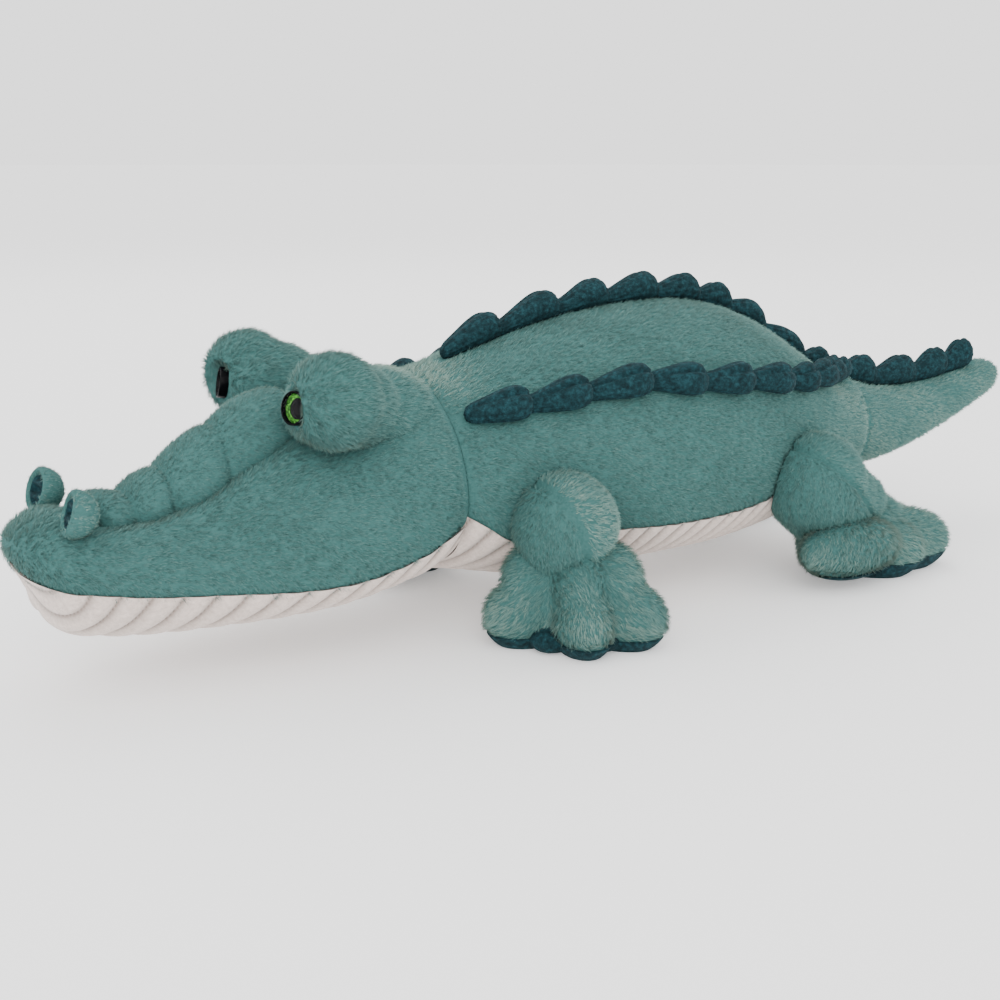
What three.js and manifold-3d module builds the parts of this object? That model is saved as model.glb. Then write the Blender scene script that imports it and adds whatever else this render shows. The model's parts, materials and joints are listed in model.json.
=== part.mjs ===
// A plush crocodile: stuffed forms of short plush sewn together, a corduroy chin and belly,
// velour ridges and soles, and plastic eyes held by lock washers.
// Millimetres, +Z up, snout towards -X, the toy's left side towards -Y.
import * as THREE from 'three';
import { mergeVertices } from 'three/addons/utils/BufferGeometryUtils.js';
import Module from 'manifold-3d';

const wasm = await Module();
wasm.setup();

// Gaps and overruns
const seamGap = 0.3;
const turningGap = 0.8;
const plasticGap = 0.2;
const cutOverrun = 8;
const weldDistance = 0.001;

// Soft joints: the head and the tail turn round balls, and each leg swings this far both ways
const legSwingDegrees = 15;

// Body, with a ball at each end that the head and the tail turn round
const bodyHalfWidth = 68;
const backHeight = 136;
const bellyHeight = 15;
const neckFromMiddle = 69;
const neckBallRadius = 77;
const neckHeight = 66;
const tailRootFromMiddle = 106;
const tailBallRadius = 40;
const tailRootHeight = 63;
const tailCollar = 18;

// Head
const snoutReach = 231;
const headOverlap = 29;
const jawHalfWidth = 57;
const chinHeight = 16;
const crownHeight = 116;
const snoutRound = 20;

// Tail
const tailReach = 165;
const tailHalfWidth = 29;
const tailLow = 34;
const tailHigh = 92;
const tailTipRound = 16;

// Raised strip of gathered plush along the snout, seated on the top of the head
const stripReach = 203;
const stripLength = 94;
const stripHalfWidth = 21;
const stripSink = 16;
const stripRise = 19.5;
const stripGatherDepth = 3;
const stripRound = 9;

// Mounds round the eyes, lifted from the top of the head
const moundReach = 112.2;
const moundApart = 42;
const moundLift = 25.5;
const moundHalfLength = 19;
const moundHalfWidth = 19;
const moundHalfHeight = 19.5;
const moundRootInward = 14;
const moundRootDrop = 5;

// Eyes, placed from the middle of their mounds
const eyeRadius = 5.7;
const eyeDome = 4;
const eyeAhead = 15.3;
const eyeInward = 5;
const eyeDrop = 2;
const eyeOutwardDegrees = 16;
const eyeUpwardDegrees = 10;
const pupilRadius = 3.5;
const irisThickness = 0.7;
const cupWall = 0.8;
const cupFloor = 1.6;
const shankRadius = 2;
const shankLength = 13;
const lensSkirt = 1;
const washerRadius = 5.4;
const washerThickness = 1.5;
const washerDepth = 7;

// Nostrils, lifted from the top of the snout
const nostrilReach = 209;
const nostrilApart = 22;
const nostrilLift = 6;
const nostrilRadius = 9;
const nostrilOpening = 6;
const nostrilLength = 12;
const nostrilHollow = 5.5;
const nostrilInwardDegrees = 12;
const nostrilUpwardDegrees = 18;
const nostrilRimRound = 3;
const liningWall = 1.2;

// Corduroy panels and velour ridges
const panelThickness = 4;
const ridgeHalfWidth = 7;
const ridgeHalfHeight = 6.5;
const ridgeLift = 3.5;
const tailRidgeHalfHeight = 8;
const tailRidgeLift = 4;
const ridgeEnd = 4;

// Legs, with the hip as each leg's own origin
const frontHipFromMiddle = -87;
const frontHipHeight = 52;
const frontThighRadius = 23.5;
const hindHipFromMiddle = 60;
const hindHipHeight = 50;
const hindThighRadius = 26;
const legApart = 63;
const thighHalfDepth = 26;
const shinHalfDepth = 19;
const frontShinHalfLength = 23;
const frontShinHalfHeight = 15;
const frontShinDrop = 5;
const hindShinHalfLength = 27;
const hindShinHalfHeight = 18;
const hindShinDrop = 12;
const hindShinBack = 19;
const frontSoleHeight = 5.5;
const hindSoleHeight = 8;
const frontToeReach = 24;
const frontToeHalfLength = 21;
const frontToeHalfWidth = 13.5;
const frontToeHalfHeight = 17;
const hindToeReach = 34;
const hindToeHalfLength = 28;
const hindToeHalfWidth = 15;
const hindToeHalfHeight = 18;
const instepHalfLength = 23;
const instepHalfWidth = 21;
const instepHalfHeight = 26;
const frontInstepHeight = 48;
const frontFootX = 3;
const frontFootY = 1;
const hindInstepHeight = 45;
const hindFootX = 26;
const hindFootY = 6;

// Number of rings and sides of the stuffed forms
const bodyRings = 11;
const bodySides = 16;
const headRings = 12;
const headSides = 16;
const tailRings = 8;
const tailSides = 10;
const stripRings = 13;
const stripSides = 8;
const ridgeSides = 5;
const ridgeRingsPerPuff = 3;
const eyeSegments = 12;
const domeSteps = 3;
const nostrilSegments = 8;
const nostrilSteps = 3;
const ballSides = 24;
const ballRings = 8;
const legSides = 10;
const toeSides = 8;
const moundSides = 10;
const moundRootSides = 8;
const swingShares = [-1, 0, 1];

// The root of an eye mound, as a share of the mound's half sizes
const moundRootShare = 0.8;

// How high the middle of a toe stands, as a share of its half height
const toeHeightShare = 0.76;

// Below 1 the undersides of the forms are fuller than an ellipse
const undersideFullness = 0.85;

// Shapes of the gathered puffs: lower powers are blunter, and the skew puts the thick part of a
// ridge's puff behind its middle
const stripPuffPower = 0.6;
const ridgePuffPower = 0.7;
const ridgePuffSkew = 1.5;
const ridgeNeckShare = 0.5;
const ridgeTipShare = 0.3;

// Rings of a stretched ball, as a share of its sides
const ballRingShare = 0.6;

// Rows of along, half width, widest height, top and bottom. The half width is a share of the
// form's own half width, and the heights are shares of its whole height.
const bodyShares = [
  [0, 0.62, 0.418, 0.74, 0.12],
  [0.127, 0.74, 0.418, 0.785, 0.066],
  [0.208, 0.85, 0.418, 0.873, 0.02],
  [0.321, 0.955, 0.418, 0.958, 0],
  [0.451, 1, 0.418, 1, 0],
  [0.581, 0.97, 0.418, 0.998, 0.005],
  [0.695, 0.87, 0.412, 0.92, 0.04],
  [0.792, 0.73, 0.405, 0.785, 0.1],
  [0.873, 0.58, 0.4, 0.66, 0.155],
  [0.938, 0.46, 0.4, 0.594, 0.19],
  [1, 0.4, 0.4, 0.557, 0.2],
];
const headShares = [
  [0, 0.52, 0.45, 0.55, 0.2],
  [0.073, 0.6, 0.39, 0.58, 0.1],
  [0.171, 0.64, 0.34, 0.54, 0.045],
  [0.268, 0.7, 0.31, 0.54, 0.025],
  [0.366, 0.79, 0.3, 0.6, 0.02],
  [0.488, 0.92, 0.32, 0.74, 0.02],
  [0.61, 1, 0.36, 0.87, 0.03],
  [0.732, 0.99, 0.42, 0.965, 0.065],
  [0.854, 0.92, 0.48, 1, 0.14],
  [1, 0.84, 0.5, 0.97, 0.29],
];
const tailShares = [
  [0, 1, 0.5, 0.98, 0.02],
  [0.176, 0.95, 0.48, 0.93, 0.03],
  [0.358, 0.82, 0.45, 0.81, 0.06],
  [0.54, 0.68, 0.48, 0.785, 0.16],
  [0.721, 0.57, 0.57, 0.83, 0.32],
  [0.873, 0.5, 0.68, 0.9, 0.48],
  [0.96, 0.47, 0.75, 0.94, 0.57],
  [1, 0.46, 0.76, 0.94, 0.59],
];
const stripShares = [
  [0, 0.8, 0.37, 0.65, 0],
  [0.2, 0.86, 0.41, 0.7, 0.03],
  [0.36, 0.92, 0.42, 0.86, 0.05],
  [0.56, 1, 0.39, 1, 0],
  [0.8, 0.95, 0.36, 0.93, 0],
  [1, 0.8, 0.31, 0.72, 0],
];

// Where the gathers lie along the snout strip
const stripGatherShares = [0, 0.2, 0.36, 0.6, 1];

// Rows of along and height of the border between plush and corduroy, as shares of the form
const chinBorderShares = [
  [0, 0.35], [0.05, 0.32], [0.11, 0.3], [0.22, 0.26], [0.34, 0.24], [0.69, 0.25],
  [0.76, 0.29], [0.84, 0.41], [1, 0.49],
];
const bellyBorderShares = [
  [0, 0.42], [0.12, 0.28], [0.155, 0.24], [0.33, 0.23], [0.42, 0.215], [0.5, 0.215], [0.6, 0.235],
  [0.65, 0.265], [0.8, 0.3], [1, 0.31],
];

// Where a ridge is gathered: rows of along the body, and aside as a share of its half width
const middleRidgeShares = [0.146, 0.244, 0.347, 0.438, 0.536, 0.62, 0.688, 0.766, 0.86, 0.922]
  .map((along) => [along, 0]);
const sideRidgeShares = [
  [0.13, 0.76], [0.195, 0.785], [0.282, 0.8], [0.38, 0.81], [0.471, 0.845], [0.562, 0.86],
  [0.653, 0.86], [0.724, 0.83], [0.8, 0.73], [0.86, 0.55], [0.915, 0.34],
];
const tailRidgeShares = [0.224, 0.37, 0.564, 0.721, 0.855].map((along) => [along, 0]);

// Toes: rows of direction in degrees (0 is forward, 90 is outward), and shares of the toe's
// reach and half length
const frontToeShares = [
  [-18, 0.71, 0.9],
  [80, 0.63, 0.95],
  [122, 1, 1],
];
const hindToeShares = [
  [136, 0.5, 0.9],
  [162, 1, 1],
  [184, 0.97, 0.9],
];

const plush = new THREE.MeshStandardMaterial({ color: 0x62918a, roughness: 0.95, metalness: 0 });
const velour = new THREE.MeshStandardMaterial({ color: 0x23414b, roughness: 0.9, metalness: 0 });
const corduroy = new THREE.MeshStandardMaterial({ color: 0xd7cdc8, roughness: 0.95, metalness: 0 });
const blackPlastic = new THREE.MeshStandardMaterial({ color: 0x0b0b0c, roughness: 0.3, metalness: 0 });
const greenGlitter = new THREE.MeshStandardMaterial({ color: 0x3f9a2a, roughness: 0.35, metalness: 0.5 });
const clearPlastic = new THREE.MeshStandardMaterial({ color: 0xf4f8f8, roughness: 0.05, metalness: 0 });
const washerPlastic = new THREE.MeshStandardMaterial({ color: 0xe8e6df, roughness: 0.5, metalness: 0 });

// Leaves out the triangles that have run together at a pole or an axis
function dropFlatTriangles(geometry) {
  const kept = [];
  const index = geometry.index.array;
  for (let i = 0; i < index.length; i += 3) {
    const [a, b, c] = index.slice(i, i + 3);
    if (a !== b && b !== c && c !== a) {
      kept.push(a, b, c);
    }
  }
  geometry.setIndex(kept);
  return geometry;
}

// Turns a closed geometry into a solid that can be cut and joined
function solidOf(geometry) {
  const bare = geometry.clone();
  bare.deleteAttribute('normal');
  bare.deleteAttribute('uv');
  const merged = dropFlatTriangles(mergeVertices(bare, weldDistance));
  return new wasm.Manifold(new wasm.Mesh({
    numProp: 3,
    vertProperties: new Float32Array(merged.attributes.position.array),
    triVerts: new Uint32Array(merged.index.array),
  }));
}

// Gives a solid back as the geometry of a mesh
function geometryOf(solid) {
  const mesh = solid.getMesh();
  const geometry = new THREE.BufferGeometry();
  geometry.setAttribute('position', new THREE.BufferAttribute(new Float32Array(mesh.vertProperties), 3));
  geometry.setIndex(new THREE.BufferAttribute(new Uint32Array(mesh.triVerts), 1));
  geometry.computeVertexNormals();
  return geometry;
}

// A closed skin through rings of points, each end closed on the ring's mean point. The diagonals
// of the toy's left half mirror those of its right half, so that mirrored pieces fit both.
function skinThrough(rings) {
  const sides = rings[0].length;
  const ends = [rings[0], rings.at(-1)].map((ring) => {
    const middle = new THREE.Vector3();
    ring.forEach((point) => middle.addScaledVector(point, 1 / sides));
    return middle;
  });
  const points = [...rings.flat(), ...ends];
  const firstEnd = rings.length * sides;
  const lastRing = firstEnd - sides;
  const index = [];
  for (let i = 0; i < sides; i += 1) {
    const next = (i + 1) % sides;
    index.push(firstEnd, next, i);
    index.push(firstEnd + 1, lastRing + i, lastRing + next);
    const onLeft = i >= sides / 4 && i < (sides * 3) / 4;
    for (let start = 0; start < lastRing; start += sides) {
      const [a, b, c, d] = [start + i, start + next, start + sides + next, start + sides + i];
      index.push(...(onLeft ? [a, b, d, b, c, d] : [a, b, c, a, c, d]));
    }
  }
  const geometry = new THREE.BufferGeometry().setFromPoints(points);
  geometry.setIndex(index);
  return geometry;
}

// Reads a table of shares as a smooth curve: the share along gives the row's other values
function smoothTable(rowShares) {
  const alongs = rowShares.map((row) => row[0]);
  const values = rowShares.flatMap((row) => row.slice(1));
  const curve = new THREE.CubicInterpolant(alongs, values, rowShares[0].length - 1);
  return (along) => [...curve.evaluate(THREE.MathUtils.clamp(along, 0, 1))];
}

// How far a rounded end has opened, from 0 at the tip to 1 where the round ends
function roundedEnd(distance, roundLength) {
  const left = Math.max(1 - distance / roundLength, 0);
  return Math.sqrt(Math.max(1 - left * left, 0));
}

// A stuffed form along X: the section at a share of its length, as sizes and heights. A form
// with a seat has its heights from there, and the others from the floor.
function sectionOf(form, along) {
  const [half, widest, top, bottom] = form.table(along);
  const x = form.start + along * form.length;
  const low = form.low + (form.seat ? form.seat(x) : 0);
  const height = form.high - form.low;
  const frontRound = form.frontRound ? roundedEnd(along * form.length, form.frontRound) : 1;
  const rearRound = form.rearRound ? roundedEnd((1 - along) * form.length, form.rearRound) : 1;
  const round = frontRound * rearRound;
  const dip = form.dip ? form.dip(along) : 0;
  return {
    x,
    half: (half * form.halfWidth - dip) * round,
    widest: low + widest * height,
    up: ((top - widest) * height - dip) * round,
    down: (widest - bottom) * height * round,
  };
}

// The point of a section at an angle from the toy's right side, with the section grown evenly:
// round above its widest height, and fuller below it
function sectionPoint(section, angle, grow) {
  const across = Math.cos(angle);
  const up = Math.sin(angle);
  const fullness = up > 0 ? 1 : undersideFullness;
  const half = Math.max(section.half + grow, 0);
  const rise = Math.max((up > 0 ? section.up : section.down) + grow, 0);
  return new THREE.Vector3(
    section.x,
    half * Math.sign(across) * Math.abs(across) ** fullness,
    section.widest + rise * Math.sign(up) * Math.abs(up) ** fullness,
  );
}

// The solid of a stuffed form, its rings closer together towards rounded ends
function stuffedSolid(form, grow = 0, ringCount = form.rings, sides = form.sides) {
  const rings = [];
  for (let ring = 0; ring <= ringCount; ring += 1) {
    const even = ring / ringCount;
    const eased = (1 - Math.cos(Math.PI * even)) / 2;
    const section = sectionOf(form, form.frontRound || form.rearRound ? (even + eased) / 2 : even);
    section.x += grow * Math.sign(ring * 2 - ringCount);
    const points = [];
    for (let side = 0; side < sides; side += 1) {
      points.push(sectionPoint(section, (side / sides) * Math.PI * 2, grow));
    }
    rings.push(points);
  }
  return solidOf(skinThrough(rings));
}

// A ball with its poles up and down, so that it turns about the vertical inside its socket
function ballSolid(radius, centre) {
  const geometry = new THREE.SphereGeometry(radius, ballSides, ballRings);
  return solidOf(geometry.rotateX(Math.PI / 2).translate(...centre));
}

// A ball stretched to three half sizes, turned about the vertical and moved to its centre
function stretchedBall(halfSizes, centre, turn, sides) {
  const geometry = new THREE.SphereGeometry(1, sides, Math.round(sides * ballRingShare));
  geometry.rotateX(Math.PI / 2);
  geometry.scale(...halfSizes);
  geometry.rotateZ(turn);
  geometry.translate(...centre);
  return solidOf(geometry);
}

// A box that spans two corners
function spanBox(low, high) {
  const size = high.map((value, axis) => value - low[axis]);
  const middle = high.map((value, axis) => (value + low[axis]) / 2);
  return solidOf(new THREE.BoxGeometry(...size).translate(...middle));
}

// Forms along the spine
const neckX = -neckFromMiddle;
const tailRootX = tailRootFromMiddle;
const bodyForm = {
  start: neckX - neckBallRadius - cutOverrun,
  length: neckFromMiddle + neckBallRadius + tailRootFromMiddle + tailBallRadius + cutOverrun * 2,
  halfWidth: bodyHalfWidth,
  low: bellyHeight,
  high: backHeight,
  table: smoothTable(bodyShares),
  rings: bodyRings,
  sides: bodySides,
};
const headForm = {
  start: neckX - snoutReach,
  length: snoutReach - headOverlap,
  halfWidth: jawHalfWidth,
  low: chinHeight,
  high: crownHeight,
  frontRound: snoutRound,
  table: smoothTable(headShares),
  rings: headRings,
  sides: headSides,
};
const tailForm = {
  start: tailRootX,
  length: tailReach,
  halfWidth: tailHalfWidth,
  low: tailLow,
  high: tailHigh,
  rearRound: tailTipRound,
  table: smoothTable(tailShares),
  rings: tailRings,
  sides: tailSides,
};

// The height of the head's top at a place, aside from its middle line
function headTop(x, aside = 0) {
  const section = sectionOf(headForm, (x - headForm.start) / headForm.length);
  const across = Math.min(Math.abs(aside) / section.half, 1);
  return section.widest + section.up * Math.sqrt(1 - across * across);
}

// The strip is drawn in at each gather
function stripDip(along) {
  const puff = stripGatherShares.findIndex((gather, i) => along <= stripGatherShares[i + 1]);
  const from = stripGatherShares[puff];
  const to = stripGatherShares[puff + 1];
  const within = (along - from) / (to - from);
  return stripGatherDepth * (1 - Math.sin(Math.PI * within) ** stripPuffPower);
}
const stripForm = {
  start: neckX - stripReach,
  length: stripLength,
  halfWidth: stripHalfWidth,
  seat: headTop,
  low: -stripSink,
  high: stripRise,
  frontRound: stripRound,
  rearRound: stripRound,
  dip: stripDip,
  table: smoothTable(stripShares),
  rings: stripRings,
  sides: stripSides,
};

// Everything below a form's border line, as one solid that reaches past both its sides
function underBorder(form, borderShares, rise) {
  const height = form.high - form.low;
  const table = smoothTable(borderShares);
  const steps = borderShares.length;
  const outline = new THREE.Shape();
  outline.moveTo(form.start - cutOverrun, form.low - cutOverrun);
  outline.lineTo(form.start - cutOverrun, form.low + table(0)[0] * height + rise);
  for (let step = 0; step <= steps; step += 1) {
    const along = step / steps;
    outline.lineTo(form.start + along * form.length, form.low + table(along)[0] * height + rise);
  }
  outline.lineTo(form.start + form.length + cutOverrun, form.low + table(1)[0] * height + rise);
  outline.lineTo(form.start + form.length + cutOverrun, form.low - cutOverrun);
  const depth = (form.halfWidth + cutOverrun) * 2;
  const geometry = new THREE.ExtrudeGeometry(outline, { depth, bevelEnabled: false });
  return solidOf(geometry.rotateX(Math.PI / 2).translate(0, depth / 2, 0));
}

// Splits a form into its plush part and the corduroy panel along its underside. The faces
// between them, which never show, have half as many rings and sides.
function splitPanel(whole, form, borderShares) {
  const inner = (depth) => stuffedSolid(form, -depth, form.rings / 2, form.sides / 2);
  const panel = whole
    .intersect(underBorder(form, borderShares, -seamGap))
    .subtract(inner(panelThickness));
  const rest = whole.subtract(
    underBorder(form, borderShares, 0).subtract(inner(panelThickness + seamGap)),
  );
  return { panel, rest };
}

// The body, trimmed to a ball at the neck and at the tail root
function makeBody(grow) {
  const reach = bodyForm.length;
  const neckBall = ballSolid(neckBallRadius - turningGap + grow, [neckX, 0, neckHeight]);
  const tailBall = ballSolid(tailBallRadius - turningGap + grow, [tailRootX, 0, tailRootHeight]);
  const frontSpace = spanBox([-reach, -reach, -reach], [neckX, reach, reach]);
  const rearSpace = spanBox([tailRootX + tailCollar, -reach, -reach], [reach, reach, reach]);
  return stuffedSolid(bodyForm, grow)
    .subtract(frontSpace.subtract(neckBall))
    .subtract(rearSpace.subtract(tailBall));
}

const wholeBody = makeBody(0);
const grownBody = makeBody(seamGap);
const passingBody = makeBody(turningGap);
const bodyParts = splitPanel(wholeBody, bodyForm, bellyBorderShares);
const neckSocket = ballSolid(neckBallRadius, [neckX, 0, neckHeight]);
const tailSocket = ballSolid(tailBallRadius, [tailRootX, 0, tailRootHeight]);
const headParts = splitPanel(stuffedSolid(headForm).subtract(neckSocket), headForm, chinBorderShares);
const grownHead = stuffedSolid(headForm, seamGap);
const wholeTail = stuffedSolid(tailForm).subtract(tailSocket);

// A place on a form's surface, aside towards the toy's left: where it is and which way is out
function surfacePlace(form, along, aside) {
  const section = sectionOf(form, along);
  const angle = Math.acos(-aside);
  const place = sectionPoint(section, angle, 0);
  const out = new THREE.Vector3(
    0,
    Math.cos(angle) / section.half,
    Math.sin(angle) / section.up,
  );
  return { place, out: out.normalize() };
}

// How full a gathered puff is, from 0 at its start to 1: thin in front and thick behind
function puffFullness(within) {
  const swell = Math.sin(Math.PI * within ** ridgePuffSkew) ** ridgePuffPower;
  return ridgeNeckShare + (1 - ridgeNeckShare) * swell;
}

// A ridge: a stuffed tube gathered into puffs, laid along a form and seated on it
function ridgeSolid(form, rowShares, sizes, seat) {
  const table = smoothTable(rowShares.map((row, i) => [i / (rowShares.length - 1), ...row]));
  const steps = (rowShares.length - 1) * ridgeRingsPerPuff;
  const centres = [];
  const outs = [];
  for (let step = 0; step <= steps; step += 1) {
    const [along, aside] = table(step / steps);
    const { place, out } = surfacePlace(form, along, aside);
    centres.push(place.addScaledVector(out, sizes.lift));
    outs.push(out);
  }
  const total = new THREE.CatmullRomCurve3(centres).getLength();
  const rings = centres.map((centre, step) => {
    const before = centres[Math.max(step - 1, 0)];
    const after = centres[Math.min(step + 1, steps)];
    const forward = after.clone().sub(before).normalize();
    const across = outs[step].clone().cross(forward).normalize();
    const within = (step % ridgeRingsPerPuff) / ridgeRingsPerPuff;
    const distance = (Math.min(step, steps - step) / steps) * total;
    const fullness = puffFullness(within) * Math.max(roundedEnd(distance, ridgeEnd), ridgeTipShare);
    const points = [];
    for (let side = 0; side < ridgeSides; side += 1) {
      const angle = (side / ridgeSides) * Math.PI * 2;
      const point = centre.clone();
      point.addScaledVector(across, sizes.halfWidth * fullness * Math.cos(angle));
      point.addScaledVector(outs[step], sizes.halfHeight * fullness * Math.sin(angle));
      points.push(point);
    }
    return points;
  });
  return solidOf(skinThrough(rings)).subtract(seat);
}

const backRidgeSizes = { halfWidth: ridgeHalfWidth, halfHeight: ridgeHalfHeight, lift: ridgeLift };
const tailRidgeSizes = { halfWidth: ridgeHalfWidth, halfHeight: tailRidgeHalfHeight, lift: tailRidgeLift };

const model = new THREE.Group();

function addPiece(name, geometry, material, group = model) {
  const mesh = new THREE.Mesh(geometry, material);
  mesh.name = name;
  group.add(mesh);
  return mesh;
}

addPiece('body', geometryOf(bodyParts.rest), plush);
addPiece('belly_panel', geometryOf(bodyParts.panel), corduroy);
addPiece('head', geometryOf(headParts.rest), plush);
addPiece('chin_panel', geometryOf(headParts.panel), corduroy);
addPiece('tail', geometryOf(wholeTail), plush);
addPiece('snout_strip', geometryOf(stuffedSolid(stripForm).subtract(grownHead)), plush);
addPiece(
  'middle_ridge',
  geometryOf(ridgeSolid(bodyForm, middleRidgeShares, backRidgeSizes, grownBody)),
  velour,
);
addPiece(
  'tail_ridge',
  geometryOf(ridgeSolid(tailForm, tailRidgeShares, tailRidgeSizes, stuffedSolid(tailForm, seamGap))),
  velour,
);

// Makes the geometry of a turned piece: a profile of [radius, along] turned about the Z axis
function turned(profile, segments) {
  const points = profile.map(([radius, along]) => new THREE.Vector2(radius, along));
  return new THREE.LatheGeometry(points, segments).rotateX(Math.PI / 2);
}

// Points of [radius, along] on an arc, its angles in degrees
function arcOf(radius, along, halfWidth, halfLength, from, to, steps) {
  const start = THREE.MathUtils.degToRad(from);
  const end = THREE.MathUtils.degToRad(to);
  const curve = new THREE.EllipseCurve(radius, along, halfWidth, halfLength, start, end, end < start);
  return curve.getPoints(steps).map((point) => [point.x, point.y]);
}

// A solid moved by the matrix of a group
function movedSolid(solid, matrix) {
  return solidOf(geometryOf(solid).applyMatrix4(matrix));
}

// Sets a group at a place and turns its Z axis to a heading: degrees outward from straight
// ahead, and degrees upward
function aim(group, place, outwardDegrees, upwardDegrees) {
  const outward = THREE.MathUtils.degToRad(outwardDegrees);
  const upward = THREE.MathUtils.degToRad(upwardDegrees);
  const heading = new THREE.Vector3(
    -Math.cos(outward) * Math.cos(upward),
    -Math.sin(outward) * Math.cos(upward),
    Math.sin(upward),
  );
  group.position.set(...place);
  group.quaternion.setFromUnitVectors(new THREE.Vector3(0, 0, 1), heading);
  group.updateMatrix();
  return group;
}

// Eye: a cup with its shank, an iris ring, a pupil, a clear dome and a lock washer
const cupDepth = irisThickness + lensSkirt + plasticGap * 2;
const cupBack = cupDepth + cupFloor;
const cupOpening = eyeRadius + plasticGap;
const cupRadius = cupOpening + cupWall;
const shankEnd = cupBack + shankLength;
const irisFloor = plasticGap - cupDepth;
const lensFloor = irisFloor + irisThickness + plasticGap;
const eyeParts = [
  ['eye_cup', blackPlastic, turned([
    [0, -shankEnd], [shankRadius, -shankEnd], [shankRadius, -cupBack], [cupRadius, -cupBack],
    [cupRadius, 0], [cupOpening, 0], [cupOpening, -cupDepth], [0, -cupDepth],
  ], eyeSegments)],
  ['eye_iris', greenGlitter, turned([
    [pupilRadius + plasticGap, irisFloor], [eyeRadius, irisFloor],
    [eyeRadius, irisFloor + irisThickness], [pupilRadius + plasticGap, irisFloor + irisThickness],
    [pupilRadius + plasticGap, irisFloor],
  ], eyeSegments)],
  ['eye_pupil', blackPlastic, turned([
    [0, irisFloor], [pupilRadius, irisFloor], [pupilRadius, irisFloor + irisThickness],
    [0, irisFloor + irisThickness],
  ], eyeSegments)],
  ['eye_lens', clearPlastic, turned([
    [0, lensFloor], [eyeRadius, lensFloor],
    ...arcOf(0, 0, eyeRadius, eyeDome, 0, 90, domeSteps),
  ], eyeSegments)],
  ['eye_washer', washerPlastic, turned([
    [shankRadius + plasticGap, -washerDepth - washerThickness],
    [washerRadius, -washerDepth - washerThickness],
    [washerRadius, -washerDepth],
    [shankRadius + plasticGap, -washerDepth],
    [shankRadius + plasticGap, -washerDepth - washerThickness],
  ], eyeSegments)],
];

// The hollow of an eye in its mound: a flared mouth, a seat for the cup, a hole for the shank
// and a pocket for the washer behind the plush
const shankHole = shankRadius + seamGap;
const washerPocket = washerRadius + seamGap;
const washerBack = washerDepth + washerThickness + seamGap;
const eyeHollow = turned([
  [0, -shankEnd - seamGap], [shankHole, -shankEnd - seamGap], [shankHole, -washerBack],
  [washerPocket, -washerBack], [washerPocket, seamGap - washerDepth],
  [shankHole, seamGap - washerDepth], [shankHole, -cupBack - seamGap],
  [cupRadius + seamGap, -cupBack - seamGap], [cupRadius + seamGap, 0],
  [cupRadius + seamGap + cutOverrun, cutOverrun], [0, cutOverrun],
], eyeSegments);

// Nostril: a curled cup of plush with a velour lining
const nostrilBack = nostrilLength - nostrilRimRound;
const rimMiddle = (nostrilRadius + nostrilOpening) / 2;
const rimHalf = (nostrilRadius - nostrilOpening) / 2;
const nostrilRim = turned([
  ...arcOf(0, 0, nostrilRadius, nostrilBack, -90, 0, nostrilSteps),
  ...arcOf(rimMiddle, 0, rimHalf, nostrilRimRound, 0, 180, nostrilSteps),
  [nostrilOpening, -nostrilHollow], [0, -nostrilHollow],
], nostrilSegments);
const liningRadius = nostrilOpening - seamGap;
const liningFloor = seamGap - nostrilHollow;
const nostrilLining = turned([
  [0, liningFloor], [liningRadius, liningFloor], [liningRadius, 0],
  [liningRadius - liningWall, 0], [liningRadius - liningWall, liningFloor + liningWall],
  [0, liningFloor + liningWall],
], nostrilSegments);

// The leg with its foot and sole, made round its own hip: forms, then the cuts between them
function legForms(leg, grow) {
  const thigh = stretchedBall(
    [leg.thighRadius + grow, thighHalfDepth + grow, leg.thighRadius + grow],
    [0, 0, 0], 0, legSides,
  );
  const shin = stretchedBall(
    [leg.shinHalfLength + grow, shinHalfDepth + grow, leg.shinHalfHeight + grow],
    leg.shinCentre, 0, legSides,
  );
  return thigh.add(shin);
}

function footForm(leg) {
  const floor = -leg.hipHeight;
  const instepCentre = [leg.footX, leg.footY, floor + leg.instepHeight - instepHalfHeight];
  let form = stretchedBall([instepHalfLength, instepHalfWidth, instepHalfHeight], instepCentre, 0, legSides);
  leg.toeShares.forEach(([degrees, reachShare, lengthShare]) => {
    const turn = THREE.MathUtils.degToRad(degrees);
    const reach = leg.toeReach * reachShare;
    const centre = [
      leg.footX - reach * Math.cos(turn),
      leg.footY - reach * Math.sin(turn),
      floor + leg.toeHalfHeight * toeHeightShare,
    ];
    const halfSizes = [leg.toeHalfLength * lengthShare, leg.toeHalfWidth, leg.toeHalfHeight];
    form = form.add(stretchedBall(halfSizes, centre, turn, toeSides));
  });
  return form;
}

// The body as it passes a leg that swings: turned about the hip, in the leg's own frame
function bodyPassing(leg) {
  const hip = new THREE.Vector3(leg.hipX, -legApart, leg.hipHeight);
  const bodies = swingShares.map((share) => {
    const turn = THREE.MathUtils.degToRad(share * legSwingDegrees);
    const matrix = new THREE.Matrix4().makeRotationY(turn);
    matrix.multiply(new THREE.Matrix4().makeTranslation(hip.clone().negate()));
    return movedSolid(passingBody, matrix);
  });
  return bodies.reduce((joined, body) => joined.add(body));
}

function makeLeg(leg) {
  const floor = -leg.hipHeight;
  const space = bodyHalfWidth * 2;
  const passing = bodyPassing(leg);
  const foot = footForm(leg).subtract(passing);
  const sole = foot.intersect(spanBox([-space, -space, floor], [space, space, floor + leg.soleHeight]));
  const upper = spanBox([-space, -space, floor + leg.soleHeight + seamGap], [space, space, space]);
  return {
    leg: geometryOf(legForms(leg, 0).subtract(passing)),
    foot: geometryOf(foot.intersect(upper).subtract(legForms(leg, seamGap))),
    sole: geometryOf(sole),
  };
}

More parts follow.
